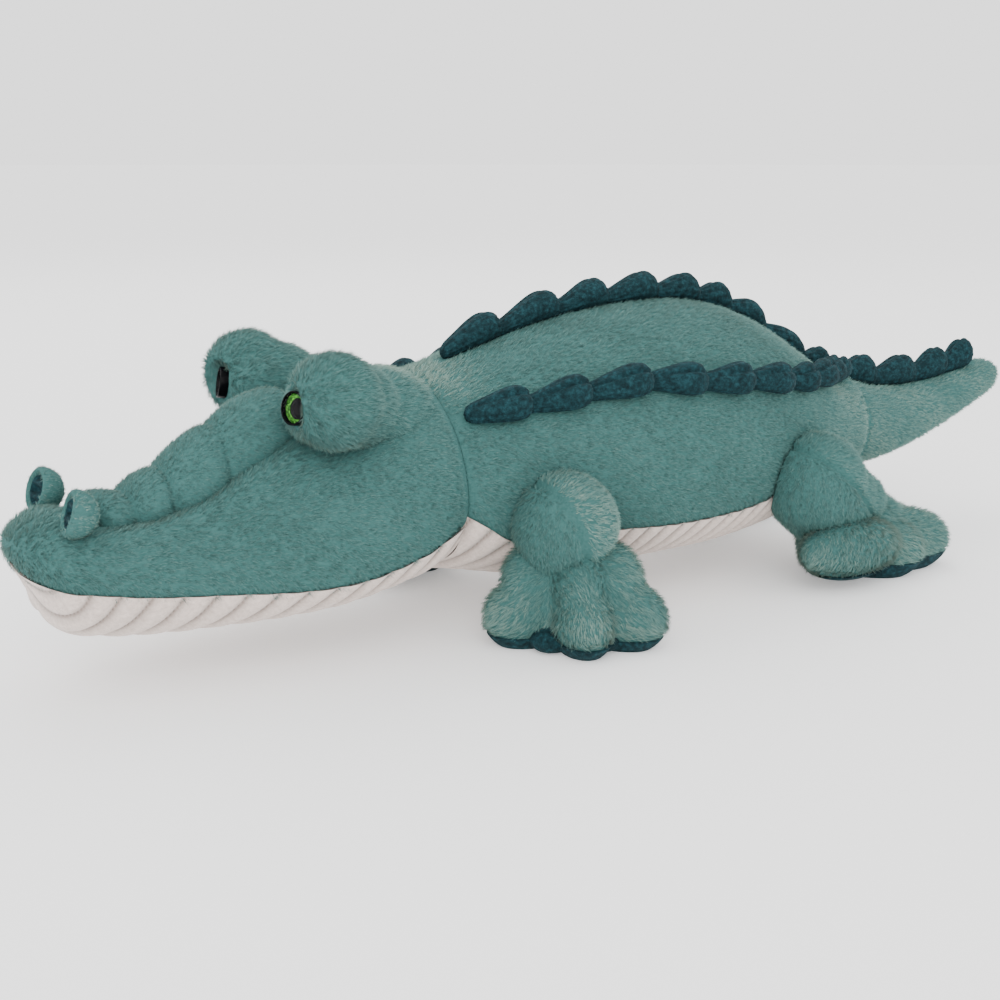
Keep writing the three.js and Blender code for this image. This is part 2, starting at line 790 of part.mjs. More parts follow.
const legs = [
  {
    name: 'front',
    hipX: frontHipFromMiddle,
    hipHeight: frontHipHeight,
    thighRadius: frontThighRadius,
    shinCentre: [0, 0, -frontShinDrop],
    shinHalfLength: frontShinHalfLength,
    shinHalfHeight: frontShinHalfHeight,
    footX: frontFootX,
    footY: frontFootY,
    instepHeight: frontInstepHeight,
    soleHeight: frontSoleHeight,
    toeReach: frontToeReach,
    toeHalfLength: frontToeHalfLength,
    toeHalfWidth: frontToeHalfWidth,
    toeHalfHeight: frontToeHalfHeight,
    toeShares: frontToeShares,
  },
  {
    name: 'hind',
    hipX: hindHipFromMiddle,
    hipHeight: hindHipHeight,
    thighRadius: hindThighRadius,
    shinCentre: [hindShinBack, 0, -hindShinDrop],
    shinHalfLength: hindShinHalfLength,
    shinHalfHeight: hindShinHalfHeight,
    footX: hindFootX,
    footY: hindFootY,
    instepHeight: hindInstepHeight,
    soleHeight: hindSoleHeight,
    toeReach: hindToeReach,
    toeHalfLength: hindToeHalfLength,
    toeHalfWidth: hindToeHalfWidth,
    toeHalfHeight: hindToeHalfHeight,
    toeShares: hindToeShares,
  },
].map((leg) => ({ ...leg, ...makeLeg(leg) }));

const moundX = neckX - moundReach;
const moundHeight = headTop(moundX, moundApart) + moundLift;
const eyePlace = [moundX - eyeAhead, -moundApart + eyeInward, moundHeight - eyeDrop];
const eyeMatrix = aim(new THREE.Group(), eyePlace, eyeOutwardDegrees, eyeUpwardDegrees).matrix;
const moundHalfSizes = [moundHalfLength, moundHalfWidth, moundHalfHeight];
const moundRootSizes = moundHalfSizes.map((size) => size * moundRootShare);
const moundRootCentre = [moundX, moundRootInward - moundApart, moundHeight - moundRootDrop];
const moundGeometry = geometryOf(
  stretchedBall(moundHalfSizes, [moundX, -moundApart, moundHeight], 0, moundSides)
    .add(stretchedBall(moundRootSizes, moundRootCentre, 0, moundRootSides))
    .subtract(grownHead)
    .subtract(stuffedSolid(stripForm, seamGap))
    .subtract(solidOf(eyeHollow.clone().applyMatrix4(eyeMatrix))),
);
const nostrilX = neckX - nostrilReach;
const nostrilHeight = headTop(nostrilX, nostrilApart) + nostrilLift;
const nostrilPlace = [nostrilX, -nostrilApart, nostrilHeight];
const nostrilMatrix = aim(
  new THREE.Group(), nostrilPlace, -nostrilInwardDegrees, nostrilUpwardDegrees,
).matrix;
const headAtNostril = movedSolid(grownHead, nostrilMatrix.clone().invert());
const nostrilRimGeometry = geometryOf(solidOf(nostrilRim).subtract(headAtNostril));
const nostrilLiningGeometry = geometryOf(solidOf(nostrilLining).subtract(headAtNostril));
const sideRidgeGeometry = geometryOf(ridgeSolid(bodyForm, sideRidgeShares, backRidgeSizes, grownBody));

// Each side's group is mirrored for the right side, so its pieces are made once, on the left
['left', 'right'].forEach((side) => {
  const group = new THREE.Group();
  group.scale.y = side === 'left' ? 1 : -1;
  model.add(group);
  addPiece(`${side}_ridge`, sideRidgeGeometry, velour, group);
  addPiece(`${side}_eye_mound`, moundGeometry, plush, group);
  const eye = aim(new THREE.Group(), eyePlace, eyeOutwardDegrees, eyeUpwardDegrees);
  group.add(eye);
  eyeParts.forEach(([name, material, geometry]) => addPiece(`${side}_${name}`, geometry, material, eye));
  const nostril = aim(new THREE.Group(), nostrilPlace, -nostrilInwardDegrees, nostrilUpwardDegrees);
  group.add(nostril);
  addPiece(`${side}_nostril`, nostrilRimGeometry, plush, nostril);
  addPiece(`${side}_nostril_lining`, nostrilLiningGeometry, velour, nostril);
  legs.forEach((leg) => {
    const hip = new THREE.Group();
    hip.position.set(leg.hipX, -legApart, leg.hipHeight);
    group.add(hip);
    addPiece(`${leg.name}_${side}_leg`, leg.leg, plush, hip);
    addPiece(`${leg.name}_${side}_foot`, leg.foot, plush, hip);
    addPiece(`${leg.name}_${side}_sole`, leg.sole, velour, hip);
  });
});

// Puts the middle of the whole toy over the origin, with its soles on the floor
const wholeBox = new THREE.Box3().setFromObject(model);
const middle = wholeBox.getCenter(new THREE.Vector3());
model.position.set(-middle.x, -middle.y, -wholeBox.min.z);

export default model;
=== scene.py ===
import json
import math

import bmesh
import bpy
import numpy as np
from mathutils import Matrix, Vector


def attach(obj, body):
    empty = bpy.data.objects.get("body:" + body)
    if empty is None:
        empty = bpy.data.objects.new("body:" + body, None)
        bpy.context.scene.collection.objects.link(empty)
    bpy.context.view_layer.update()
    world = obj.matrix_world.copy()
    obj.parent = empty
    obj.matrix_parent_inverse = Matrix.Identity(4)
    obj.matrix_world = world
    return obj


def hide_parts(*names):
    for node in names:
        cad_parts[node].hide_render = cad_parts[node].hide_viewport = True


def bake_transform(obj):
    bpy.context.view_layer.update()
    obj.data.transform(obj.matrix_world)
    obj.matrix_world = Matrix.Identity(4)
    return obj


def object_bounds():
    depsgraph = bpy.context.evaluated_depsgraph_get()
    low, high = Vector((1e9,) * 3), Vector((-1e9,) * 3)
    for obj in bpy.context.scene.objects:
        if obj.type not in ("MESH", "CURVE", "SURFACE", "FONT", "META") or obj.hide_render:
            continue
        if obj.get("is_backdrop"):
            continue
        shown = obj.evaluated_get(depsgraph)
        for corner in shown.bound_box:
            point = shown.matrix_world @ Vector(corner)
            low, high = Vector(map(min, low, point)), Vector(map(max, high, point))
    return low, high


bl_info = {
    "name": "Plush crocodile",
    "version": (1, 0, 0),
    "blender": (4, 5, 0),
    "location": "3D View > Sidebar > Crocodile",
    "description": "Dresses the crocodile's solids in plush, corduroy, velour and plastic",
    "category": "Add Mesh",
}

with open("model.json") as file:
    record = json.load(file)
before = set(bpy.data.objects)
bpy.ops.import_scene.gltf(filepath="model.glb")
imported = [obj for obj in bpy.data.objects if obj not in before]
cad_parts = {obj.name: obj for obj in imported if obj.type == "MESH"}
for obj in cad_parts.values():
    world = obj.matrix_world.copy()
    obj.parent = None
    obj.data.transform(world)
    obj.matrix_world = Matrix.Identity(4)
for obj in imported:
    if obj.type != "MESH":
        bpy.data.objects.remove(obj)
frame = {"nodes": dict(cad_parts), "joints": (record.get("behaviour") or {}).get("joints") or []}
CAD_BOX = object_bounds()
JOINTS = {joint["name"]: np.array(joint["pos_m"], float) for joint in frame["joints"]}
NECK = JOINTS["neck_turn"]
TAIL_ROOT = JOINTS["tail_swing"]

# Lengths are in millimetres in the tables and constants, and in metres once multiplied by this
MM = 0.001

# The balls that the neck and the tail root turn round, and the collar before the tail's ball
NECK_BALL = 77 * MM
TAIL_BALL = 40 * MM
TAIL_COLLAR = 18 * MM

# How far the plush laps over the corduroy at its border
BORDER_LAP = 0.8 * MM

# Each side of the toy: its sign along Y and its name
SIDES = ((-1, "left"), (1, "right"))

# Below 1 the undersides of the forms are fuller than an ellipse
UNDERSIDE_FULLNESS = 0.85

# Rows of along, half width, widest height, top and bottom, as shares of a form's own sizes
BODY_ROWS = [
    (0, 0.69, 0.418, 0.78, 0.12),
    (0.127, 0.785, 0.418, 0.825, 0.066),
    (0.208, 0.865, 0.418, 0.885, 0.02),
    (0.321, 0.955, 0.418, 0.958, 0),
    (0.451, 1, 0.418, 1, 0),
    (0.581, 0.97, 0.418, 0.998, 0.005),
    (0.695, 0.87, 0.412, 0.92, 0.04),
    (0.792, 0.73, 0.405, 0.785, 0.1),
    (0.873, 0.58, 0.4, 0.66, 0.155),
    (0.938, 0.475, 0.4, 0.62, 0.175),
    (1, 0.43, 0.4, 0.605, 0.17),
]
HEAD_ROWS = [
    (0, 0.52, 0.45, 0.55, 0.2),
    (0.073, 0.6, 0.39, 0.58, 0.1),
    (0.171, 0.64, 0.34, 0.54, 0.045),
    (0.268, 0.7, 0.31, 0.54, 0.025),
    (0.366, 0.79, 0.3, 0.6, 0.02),
    (0.488, 0.92, 0.32, 0.74, 0.02),
    (0.61, 1, 0.36, 0.87, 0.03),
    (0.732, 1, 0.42, 0.975, 0.065),
    (0.854, 0.985, 0.48, 1.03, 0.13),
    (1, 0.95, 0.5, 1.05, 0.28),
]
TAIL_ROWS = [
    (0, 1, 0.5, 0.98, 0.02),
    (0.176, 0.95, 0.48, 0.93, 0.03),
    (0.358, 0.82, 0.45, 0.81, 0.06),
    (0.54, 0.68, 0.48, 0.785, 0.16),
    (0.721, 0.57, 0.57, 0.83, 0.32),
    (0.873, 0.5, 0.68, 0.9, 0.48),
    (0.96, 0.47, 0.75, 0.94, 0.57),
    (1, 0.46, 0.76, 0.94, 0.59),
]
STRIP_ROWS = [
    (0, 0.8, 0.37, 0.65, 0),
    (0.2, 0.86, 0.41, 0.7, 0.03),
    (0.36, 0.92, 0.42, 0.86, 0.05),
    (0.56, 1, 0.39, 1, 0),
    (0.8, 0.95, 0.36, 0.93, 0),
    (1, 0.8, 0.31, 0.72, 0),
]
STRIP_GATHERS = (0, 0.2, 0.36, 0.6, 1)
STRIP_DIP = 4.4 * MM

# Rows of along and height of the border between plush and corduroy, as shares of the form
CHIN_BORDER = [
    (0, 0.35), (0.05, 0.32), (0.11, 0.3), (0.22, 0.26), (0.34, 0.24), (0.69, 0.25),
    (0.76, 0.29), (0.84, 0.37), (1, 0.34),
]
BELLY_BORDER = [
    (0, 0.46), (0.12, 0.3), (0.155, 0.24), (0.33, 0.23), (0.42, 0.215), (0.5, 0.215),
    (0.6, 0.235), (0.65, 0.265), (0.8, 0.29), (0.92, 0.25), (1, 0.2),
]

# Where the ridges are gathered: rows of along the form, and aside as a share of its half width
MIDDLE_RIDGE = [
    (along, 0) for along in (0.146, 0.244, 0.347, 0.438, 0.536, 0.62, 0.688, 0.766, 0.86, 0.922)
]
SIDE_RIDGE = [
    (0.105, 0.75), (0.195, 0.785), (0.282, 0.8), (0.38, 0.81), (0.471, 0.845), (0.562, 0.86),
    (0.653, 0.86), (0.724, 0.83), (0.8, 0.73), (0.86, 0.55), (0.915, 0.34),
]
TAIL_RIDGE = [(along, 0) for along in (0.224, 0.37, 0.564, 0.721, 0.855)]

# Mounds and eyes, from the neck
MOUND_AT = (NECK[0] - 112.2 * MM, 42 * MM)
MOUND_LIFT = 25.5 * MM
MOUND_HALF = np.array((19, 19, 19.5)) * MM
EYE_FROM_MOUND = np.array((-15.3, -5, -2)) * MM
EYE_TURN = (16, 10)

# Nostrils, from the neck
NOSTRIL_AT = (NECK[0] - 209 * MM, 22 * MM)
NOSTRIL_LIFT = 6 * MM
NOSTRIL_TURN = (-6, 18)

# Legs: half sizes and centres of stretched balls in millimetres. The upper leg's are from the
# hip, and the foot's from the floor below it. A knuckle lies at a share of its toe's reach and a
# height, and a lobe has a turn in degrees. Toes are rows of a turn in degrees, with the reach and
# the length as shares. The seam runs between two points of X and Z from the hip, and the last value
# says how much paler the plush is painted behind it: a painted sheen, where the pile lies another
# way
LEGS = {
    "front": {
        "upper": [
            ((0, 0, 0), (23.5, 26, 23.5)), ((0, 0, -5), (23, 19, 15)), ((1, 0, -8), (22.5, 21, 18)),
        ],
        "knuckle": (17, 14.5, 19), "knuckle_at": (0.72, 27.5), "lobes": [],
        "foot_at": (3, 1), "instep": (20, 18, 25.5), "instep_top": 47.5, "sole": 5.5,
        "toe": (21, 14, 17.5), "toe_reach": 24,
        "toes": [(-18, 0.75, 0.95), (76, 0.67, 0.95), (127, 1, 1)],
        "seam": ((-11, 14), (5, -36)), "brushed": 0.24,
    },
    "hind": {
        "upper": [
            ((0, 0, 0), (26, 26, 26)), ((19, 0, -12), (27, 19, 18)), ((9, 0, -9), (28, 22.5, 23)),
        ],
        "knuckle": (19, 13, 14), "knuckle_at": (0.45, 27),
        "lobes": [((10, -16, 20), (30, 14, 16), 172)],
        "foot_at": (26, 6), "instep": (23, 21, 26), "instep_top": 45, "sole": 8,
        "toe": (28, 15, 18), "toe_reach": 34,
        "toes": [(136, 0.5, 0.9), (162, 1, 1), (184, 0.97, 0.9)],
        "seam": ((-14, 18), (22, -14)), "brushed": 0.15,
    },
}
TOE_HEIGHT = 0.76


def length(name, description, default, **limits):
    """A size of the toy, in metres."""
    return bpy.props.FloatProperty(
        name=name, description=description, default=default, unit="LENGTH", precision=5, **limits
    )


def colour(name, description, default):
    """A colour of the toy, in linear light."""
    return bpy.props.FloatVectorProperty(
        name=name, description=description, default=default, subtype="COLOR", min=0, max=1
    )


class CrocodileSizes(bpy.types.PropertyGroup):
    """Sizes of the cloths and of what is sewn from them."""

    pile_length: length("Pile length", "Length of a strand of the plush", 3.3 * MM, min=0)
    pile_depth: length("Pile depth", "From the plush's tips down to its backing", 1.9 * MM, min=0)
    strand_width: length("Strand width", "Width of a strand at its root", 0.34 * MM, min=0)
    tuft_radius: length("Tuft radius", "Radius of a tuft of strands", 0.65 * MM, min=0)
    tuft_strands: bpy.props.IntProperty(
        name="Strands in a tuft", description="Strands that lean together", default=3, min=1
    )
    strands_per_square_mm: bpy.props.FloatProperty(
        name="Strands", description="Strands on a square millimetre", default=2.45, min=0
    )
    chin_wale: length("Chin wale", "From one wale to the next along the chin", 11.5 * MM, min=0)
    belly_wale: length("Belly wale", "From one wale to the next along the belly", 9.5 * MM, min=0)
    wale_slant: length("Wale slant", "How far back a wale runs from the middle line up", 24 * MM)
    wale_depth: length("Wale depth", "Depth of the grooves between the wales", 2.4 * MM, min=0)
    panel_sink: length("Panel sink", "How far the corduroy lies under the plush's tips", 0.7 * MM)
    panel_tuck: length("Panel tuck", "How far the backing is drawn in under the corduroy", 3.4 * MM)
    seam_dip: length("Seam dip", "How far the plush is drawn in at the neck's seam", 4.2 * MM)
    panel_thickness: length("Panel thickness", "Thickness of the corduroy", 1.2 * MM, min=0)
    ridge_half_width: length("Ridge half width", "Half a velour ridge's width", 7.4 * MM, min=0)
    ridge_half_height: length("Ridge half height", "Half a back ridge's height", 6.9 * MM, min=0)
    tail_ridge_half_height: length("Tail ridge half height", "Half its height", 8.4 * MM, min=0)
    thread_radius: length("Thread radius", "Radius of a stitch at a gather", 0.45 * MM, min=0)
    eye_radius: length("Eye radius", "Radius of the clear dome", 5.7 * MM, min=0)
    voxel: length("Voxel", "Grain of the joined leg forms", 1.7 * MM, min=0.0005)


class CrocodileColours(bpy.types.PropertyGroup):
    """Colours of the cloths, the plastic and the floor."""

    # Painted shade at the pile's root and painted sheen at its tips
    plush_root: colour("Plush root", "Plush near its backing", (0.036, 0.102, 0.096))
    plush_middle: colour("Plush middle", "Plush at half its height", (0.060, 0.154, 0.145))
    plush_tip: colour("Plush tip", "Plush at its tips", (0.112, 0.230, 0.210))
    # Painted sheen and paleness: the pale colour the pile is mixed towards at the nape and behind
    # the legs' seams, and where toes, tail and nostrils are paler
    plush_brushed: colour("Brushed plush", "Plush where it is brushed up", (0.330, 0.430, 0.350))
    velour: colour("Velour", "Ridges, soles and nostril linings", (0.008, 0.030, 0.036))
    velour_sheen: colour("Velour sheen", "Velour seen at a slant", (0.05, 0.11, 0.12))
    corduroy: colour("Corduroy", "Tops of the wales", (0.70, 0.60, 0.54))
    # Grooves: the bare weave's colour, darkened with painted shade
    corduroy_groove: colour("Corduroy groove", "Grooves between the wales", (0.20, 0.15, 0.125))
    thread: colour("Thread", "Stitches at the gathers", (0.75, 0.75, 0.72))
    eye_black: colour("Eye black", "Cup and pupil", (0.003, 0.003, 0.004))
    eye_green: colour("Eye green", "Glitter of the iris", (0.02, 0.30, 0.01))
    # Painted glints: the palest flakes of the glitter
    eye_glint: colour("Eye glint", "Palest flakes of the glitter", (0.25, 0.85, 0.12))
    washer: colour("Washer", "Lock washers in the mounds", (0.70, 0.68, 0.62))
    floor: colour("Floor", "Studio floor", (0.88, 0.88, 0.88))


def smooth_curve(rows):
    """A smooth curve through rows of a place and its values."""
    table = np.array(rows, float)
    at, values = table[:, 0], table[:, 1:]
    slopes = np.gradient(values, at, axis=0)

    def read(place):
        place = np.clip(np.asarray(place, float), at[0], at[-1])
        i = np.clip(np.searchsorted(at, place, side="right") - 1, 0, len(at) - 2)
        step = (at[i + 1] - at[i])[..., None]
        t = (place - at[i])[..., None] / step
        keep = 2 * t**3 - 3 * t**2 + 1
        return (
            keep * values[i] + (t**3 - 2 * t**2 + t) * step * slopes[i]
            + (1 - keep) * values[i + 1] + (t**3 - t**2) * step * slopes[i + 1]
        )

    return read


def rounded_end(distance, round_length):
    """How far a rounded end has opened, from 0 at its tip to 1 where the round ends."""
    left = np.clip(1 - distance / round_length, 0, 1)
    return np.sqrt(1 - left * left)


class Form:
    """A stuffed form along X, with its sections read from a table."""

    def __init__(self, start, sizes, rows, rounds=(0, 0), seat=None, dip=None):
        """Start is in metres, sizes are its length, half width, lowest and highest in mm."""
        self.start = start
        self.length, self.half_width, self.low, self.high = (size * MM for size in sizes)
        self.rows = smooth_curve(rows)
        self.front_round, self.rear_round = (size * MM for size in rounds)
        self.seat, self.dip = seat, dip

    def section(self, x, grow=0.0):
        """Half width, widest height, and how far the section rises and falls from there."""
        along = np.clip((x - self.start) / self.length, 0, 1)
        half, widest, top, bottom = np.moveaxis(self.rows(along), -1, 0)
        height = self.high - self.low
        low = self.low + (self.seat(x) if self.seat else 0)
        dip = self.dip(along) if self.dip else 0
        opened = np.ones_like(along)
        if self.front_round:
            opened = opened * rounded_end(x - self.start + grow, self.front_round)
        if self.rear_round:
            opened = opened * rounded_end(self.start + self.length - x + grow, self.rear_round)
        return (
            np.maximum(half * self.half_width - dip + grow, 0) * opened,
            low + widest * height,
            np.maximum((top - widest) * height - dip + grow, 0) * opened,
            np.maximum((widest - bottom) * height + grow, 0) * opened,
        )

    def point(self, x, angle, grow=0.0):
        """Places on the form, by the angle up from its right side."""
        half, widest, up, down = self.section(x, grow)
        across, rise = np.cos(angle), np.sin(angle)
        power = np.where(rise > 0, 1.0, UNDERSIDE_FULLNESS)
        y = half * np.sign(across) * np.abs(across) ** power
        z = widest + np.where(rise > 0, up, down) * np.sign(rise) * np.abs(rise) ** power
        return np.stack(np.broadcast_arrays(x, y, z), axis=-1)

    def fullness_at(self, points, grow=0.0):
        """How far places lie out in their sections: under 1 is inside."""
        x, y, z = np.moveaxis(points, -1, 0)
        half, widest, up, down = self.section(x, grow)
        above = z > widest
        power = np.where(above, 2.0, 2.0 / UNDERSIDE_FULLNESS)
        rise = np.maximum(np.where(above, up, down), 1e-6)
        out = (np.abs(y) / np.maximum(half, 1e-6)) ** power + (np.abs(z - widest) / rise) ** power
        beyond = (x < self.start - grow) | (x > self.start + self.length + grow)
        return np.where(beyond, 9.0, out ** (1 / power))

    def pushed_out(self, points, grow=0.0):
        """Places moved out of the form, to its surface."""
        full = self.fullness_at(points, grow)
        widest = self.section(points[:, 0], grow)[1]
        scale = np.where(full < 1, 1 / np.maximum(full, 0.05), 1.0)
        moved = points.copy()
        moved[:, 1] *= scale
        moved[:, 2] = widest + (points[:, 2] - widest) * scale
        return moved

    def border(self, rows):
        """The height of a border line on the form, as a function of x."""
        table = smooth_curve(rows)

        def height_at(x):
            share = table((x - self.start) / self.length)[..., 0]
            return self.low + share * (self.high - self.low)

        return height_at


body_form = Form(NECK[0] - 85 * MM, (308, 68, 15, 136), BODY_ROWS)
head_form = Form(NECK[0] - 231 * MM, (202, 57, 16, 116), HEAD_ROWS, rounds=(20, 0))
tail_form = Form(TAIL_ROOT[0], (165, 29, 34, 92), TAIL_ROWS, rounds=(0, 16))
belly_border = body_form.border(BELLY_BORDER)
chin_border = head_form.border(CHIN_BORDER)


def head_top(x, aside=0.0):
    """The height of the head's top, aside from its middle line."""
    half, widest, up, _ = head_form.section(x)
    return widest + up * np.sqrt(np.clip(1 - (aside / np.maximum(half, 1e-6)) ** 2, 0, 1))


def strip_dip(along):
    """How far the strip is drawn in: deep and sharp at each gather."""
    gathers = np.array(STRIP_GATHERS)
    puff = np.clip(np.searchsorted(gathers, along, side="left") - 1, 0, len(gathers) - 2)
    within = np.clip((along - gathers[puff]) / (gathers[puff + 1] - gathers[puff]), 0, 1)
    return STRIP_DIP * (1 - np.sin(np.pi * within) ** 0.4)


strip_form = Form(
    NECK[0] - 203 * MM, (94, 23, -16, 20), STRIP_ROWS, rounds=(9, 9), seat=head_top, dip=strip_dip
)


def toward(turn, side):
    """The heading of an eye or a nostril: degrees outward and upward from straight ahead."""
    outward, upward = (math.radians(degrees) for degrees in turn)
    return Vector((
        -math.cos(outward) * math.cos(upward),
        side * math.sin(outward) * math.cos(upward),
        math.sin(upward),
    ))


def aimed(place, heading):
    """The matrix that sets a piece at a place with its Z axis along a heading."""
    return Matrix.Translation(place) @ heading.to_track_quat("Z", "Y").to_matrix().to_4x4()


def mound_centre(side):
    """The middle of an eye mound; side is -1 on the toy's left."""
    x, apart = MOUND_AT
    return np.array((x, side * apart, float(head_top(x, apart)) + MOUND_LIFT))


def eye_matrix(side):
    """Where an eye sits, its Z axis looking out."""
    place = mound_centre(side) + EYE_FROM_MOUND * (1, side, 1)
    return aimed(Vector(place), toward(EYE_TURN, side))


def nostril_matrix(side):
    """Where a nostril's opening sits, its Z axis looking out."""
    x, apart = NOSTRIL_AT
    height = float(head_top(x, apart)) + NOSTRIL_LIFT
    return aimed(Vector((x, side * apart, height)), toward(NOSTRIL_TURN, side))


# Meshes

# A direction along which no two faces of a spun piece lie level
SORT_ALONG = Vector((1, 1.7, 2.9))


def coordinates(mesh):
    """The vertices of a mesh as rows of x, y and z."""
    found = np.empty(len(mesh.vertices) * 3, np.float32)
    mesh.vertices.foreach_get("co", found)
    return found.reshape(-1, 3).astype(float)


def set_coordinates(mesh, places):
    """Moves the vertices of a mesh."""
    mesh.vertices.foreach_set("co", np.asarray(places, np.float32).ravel())
    mesh.update()


def new_piece(name, mesh, material, body, slot, node=None):
    """Puts a mesh in the scene: it may ride on a body and stand for a solid."""
    mesh.name = name
    piece = bpy.data.objects.new(name, mesh)
    bpy.context.scene.collection.objects.link(piece)
    mesh.materials.append(material_named(material))
    if body:
        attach(piece, body)
    if node:
        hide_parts(node)
    return piece


def new_backing(name, mesh, body, node):
    """The backing of a stuffed plush form, which stands for its solid."""
    return new_piece(name, mesh, "plush_backing", body, "plush", node)


def mesh_from(bm, sort_faces=False):
    """Turns a bmesh into a smooth mesh with its doubles merged and its faces outwards.

    A spin's weld leaves the faces in no fixed order: sorted, they give the same pile each run.
    """
    bmesh.ops.remove_doubles(bm, verts=bm.verts, dist=0.01 * MM)
    if sort_faces:
        bm.faces.sort(key=lambda face: face.calc_center_median().dot(SORT_ALONG))
    bmesh.ops.recalc_face_normals(bm, faces=bm.faces)
    mesh = bpy.data.meshes.new("piece")
    bm.to_mesh(mesh)
    bm.free()
    mesh.shade_smooth()
    return mesh


def wrapped_skin(place, rows=120, columns=96, wales=None):
    """A closed skin: a grid wrapped round by place, which takes shares along and round.

    Place may put the wale at each vertex, from 0 in a groove to 1, into the list of wales.
    """
    bm = bmesh.new()
    bmesh.ops.create_grid(bm, x_segments=rows, y_segments=columns, size=0.5)
    grid = bpy.data.meshes.new("grid")
    bm.to_mesh(grid)
    flat = coordinates(grid) + 0.5
    set_coordinates(grid, place(flat[:, 0], flat[:, 1]))
    if wales is not None:
        shade = grid.attributes.new("wale", "FLOAT", "POINT")
        shade.data.foreach_set("value", wales[0].astype(np.float32))
    bm.clear()
    bm.from_mesh(grid)
    bpy.data.meshes.remove(grid)
    return mesh_from(bm)


def cap_places(centre, radius, rim, axis, share):
    """Places on a ball from its pole at share 0 to the rim of a form at share 1."""
    reach = rim - centre
    distance = np.linalg.norm(reach, axis=-1, keepdims=True)
    heading = reach / distance
    angle = np.arccos(np.clip(heading @ axis, -1, 1))[:, None]
    share = share[:, None]
    between = (
        np.sin((1 - share) * angle) * axis + np.sin(share * angle) * heading
    ) / np.maximum(np.sin(angle), 1e-6)
    radii = radius + (distance - radius) * np.clip(share * 4 - 3, 0, 1)
    return centre + between * radii


def crossing(form, angle, centre, radius, low, high, grow):
    """Where along a form its surface crosses a ball, for each angle."""
    low, high = np.full_like(angle, low), np.full_like(angle, high)
    starts_out = np.linalg.norm(form.point(low, angle, grow) - centre, axis=-1) > radius
    for _ in range(24):
        middle = (low + high) / 2
        out = np.linalg.norm(form.point(middle, angle, grow) - centre, axis=-1) > radius
        low = np.where(out == starts_out, middle, low)
        high = np.where(out == starts_out, high, middle)
    return (low + high) / 2


def eased(share):
    """Rings closer together towards both ends."""
    return (share + (1 - np.cos(np.pi * share)) / 2) / 2


def skin_between(form, grow, ends, dip=None):
    """A place function for a form between two ends: each end gives x for an angle, and a cap."""
    (front_at, front_cap), (rear_at, rear_cap) = ends
    cap = 0.12

    def skin_at(x, angle):
        plain = form.point(x, angle, grow)
        return form.point(x, angle, grow - dip(plain)) if dip else plain

    def place(along, round_share):
        angle = round_share * 2 * np.pi
        front, rear = front_at(angle), rear_at(angle)
        share = np.clip((along - cap) / (1 - 2 * cap), 0, 1)
        places = skin_at(front + (rear - front) * eased(share), angle)
        front_rim, rear_rim = skin_at(front, angle), skin_at(rear, angle)
        before, after = along < cap, along > 1 - cap
        places[before] = front_cap(front_rim, along / cap)[before]
        places[after] = rear_cap(rear_rim, (1 - along) / cap)[after]
        return places

    return place


def ball_cap(centre, radius, axis):
    """A cap that follows a ball."""
    return lambda rim, share: cap_places(centre, radius, rim, np.array(axis, float), share)


def flat_cap(rim, share):
    """A cap that closes a rim straight across."""
    middle = rim.mean(axis=0)
    return middle + (rim - middle) * share[:, None]


def neck_dip(depth, reach=9 * MM):
    """How far a skin is drawn in beside the neck's seam, for its places."""

    def read(places):
        beside = np.abs(np.linalg.norm(places - NECK, axis=-1) - NECK_BALL)
        return depth * np.clip(1 - beside / reach, 0, 1) ** 2 * (places[..., 0] < NECK[0])

    return read


def tucked(form, border, places, depth):
    """Places drawn in under a corduroy panel, so that the backing lies below its grooves."""
    below = np.clip((border(places[:, 0]) - BORDER_LAP - places[:, 2]) / (2 * MM), 0, 1)
    reach = places[:, 1:] - np.stack((np.zeros(len(places)), form.section(places[:, 0])[1]), axis=1)
    drawn = places.copy()
    drawn[:, 1:] -= unit(reach) * depth * below[:, None]
    return drawn


def set_back(places):
    """Places of the head with the chin's border set back under the tip of the snout."""
    most, reach, below_border, spread = 4 * MM, 36 * MM, 6 * MM, 9 * MM
    x, _, z = places.T
    front = np.clip(1 - (x - head_form.start) / reach, 0, 1)
    from_deepest = z - chin_border(x) + below_border
    moved = places.copy()
    moved[:, 0] += most * front * np.exp(-((from_deepest / spread) ** 2))
    return moved


def at_x(x):
    """An end at one x for every angle."""
    return lambda angle: np.full_like(angle, x)


def joined_balls(balls, voxel, smoothing=2):
    """One skin round several stretched balls, joined by a voxel remesh and smoothed."""
    bm = bmesh.new()
    for centre, half, turn in balls:
        matrix = Matrix.Translation(centre) @ Matrix.Rotation(turn, 4, "Z")
        matrix = matrix @ Matrix.Diagonal((*half, 1))
        bmesh.ops.create_uvsphere(bm, u_segments=40, v_segments=24, radius=1, matrix=matrix)
    rough = bpy.data.meshes.new("rough")
    bm.to_mesh(rough)
    bm.free()
    carrier = bpy.data.objects.new("carrier", rough)
    bpy.context.scene.collection.objects.link(carrier)
    remesh = carrier.modifiers.new("Join", "REMESH")
    remesh.mode = "VOXEL"
    remesh.voxel_size = voxel
    solid = bpy.data.meshes.new_from_object(
        carrier.evaluated_get(bpy.context.evaluated_depsgraph_get())
    )
    bpy.data.objects.remove(carrier)
    bpy.data.meshes.remove(rough)
    bm = bmesh.new()
    bm.from_mesh(solid)
    bpy.data.meshes.remove(solid)
    for _ in range(smoothing):
        bmesh.ops.smooth_vert(
            bm, verts=bm.verts, factor=0.5, use_axis_x=True, use_axis_y=True, use_axis_z=True
        )
    return bm


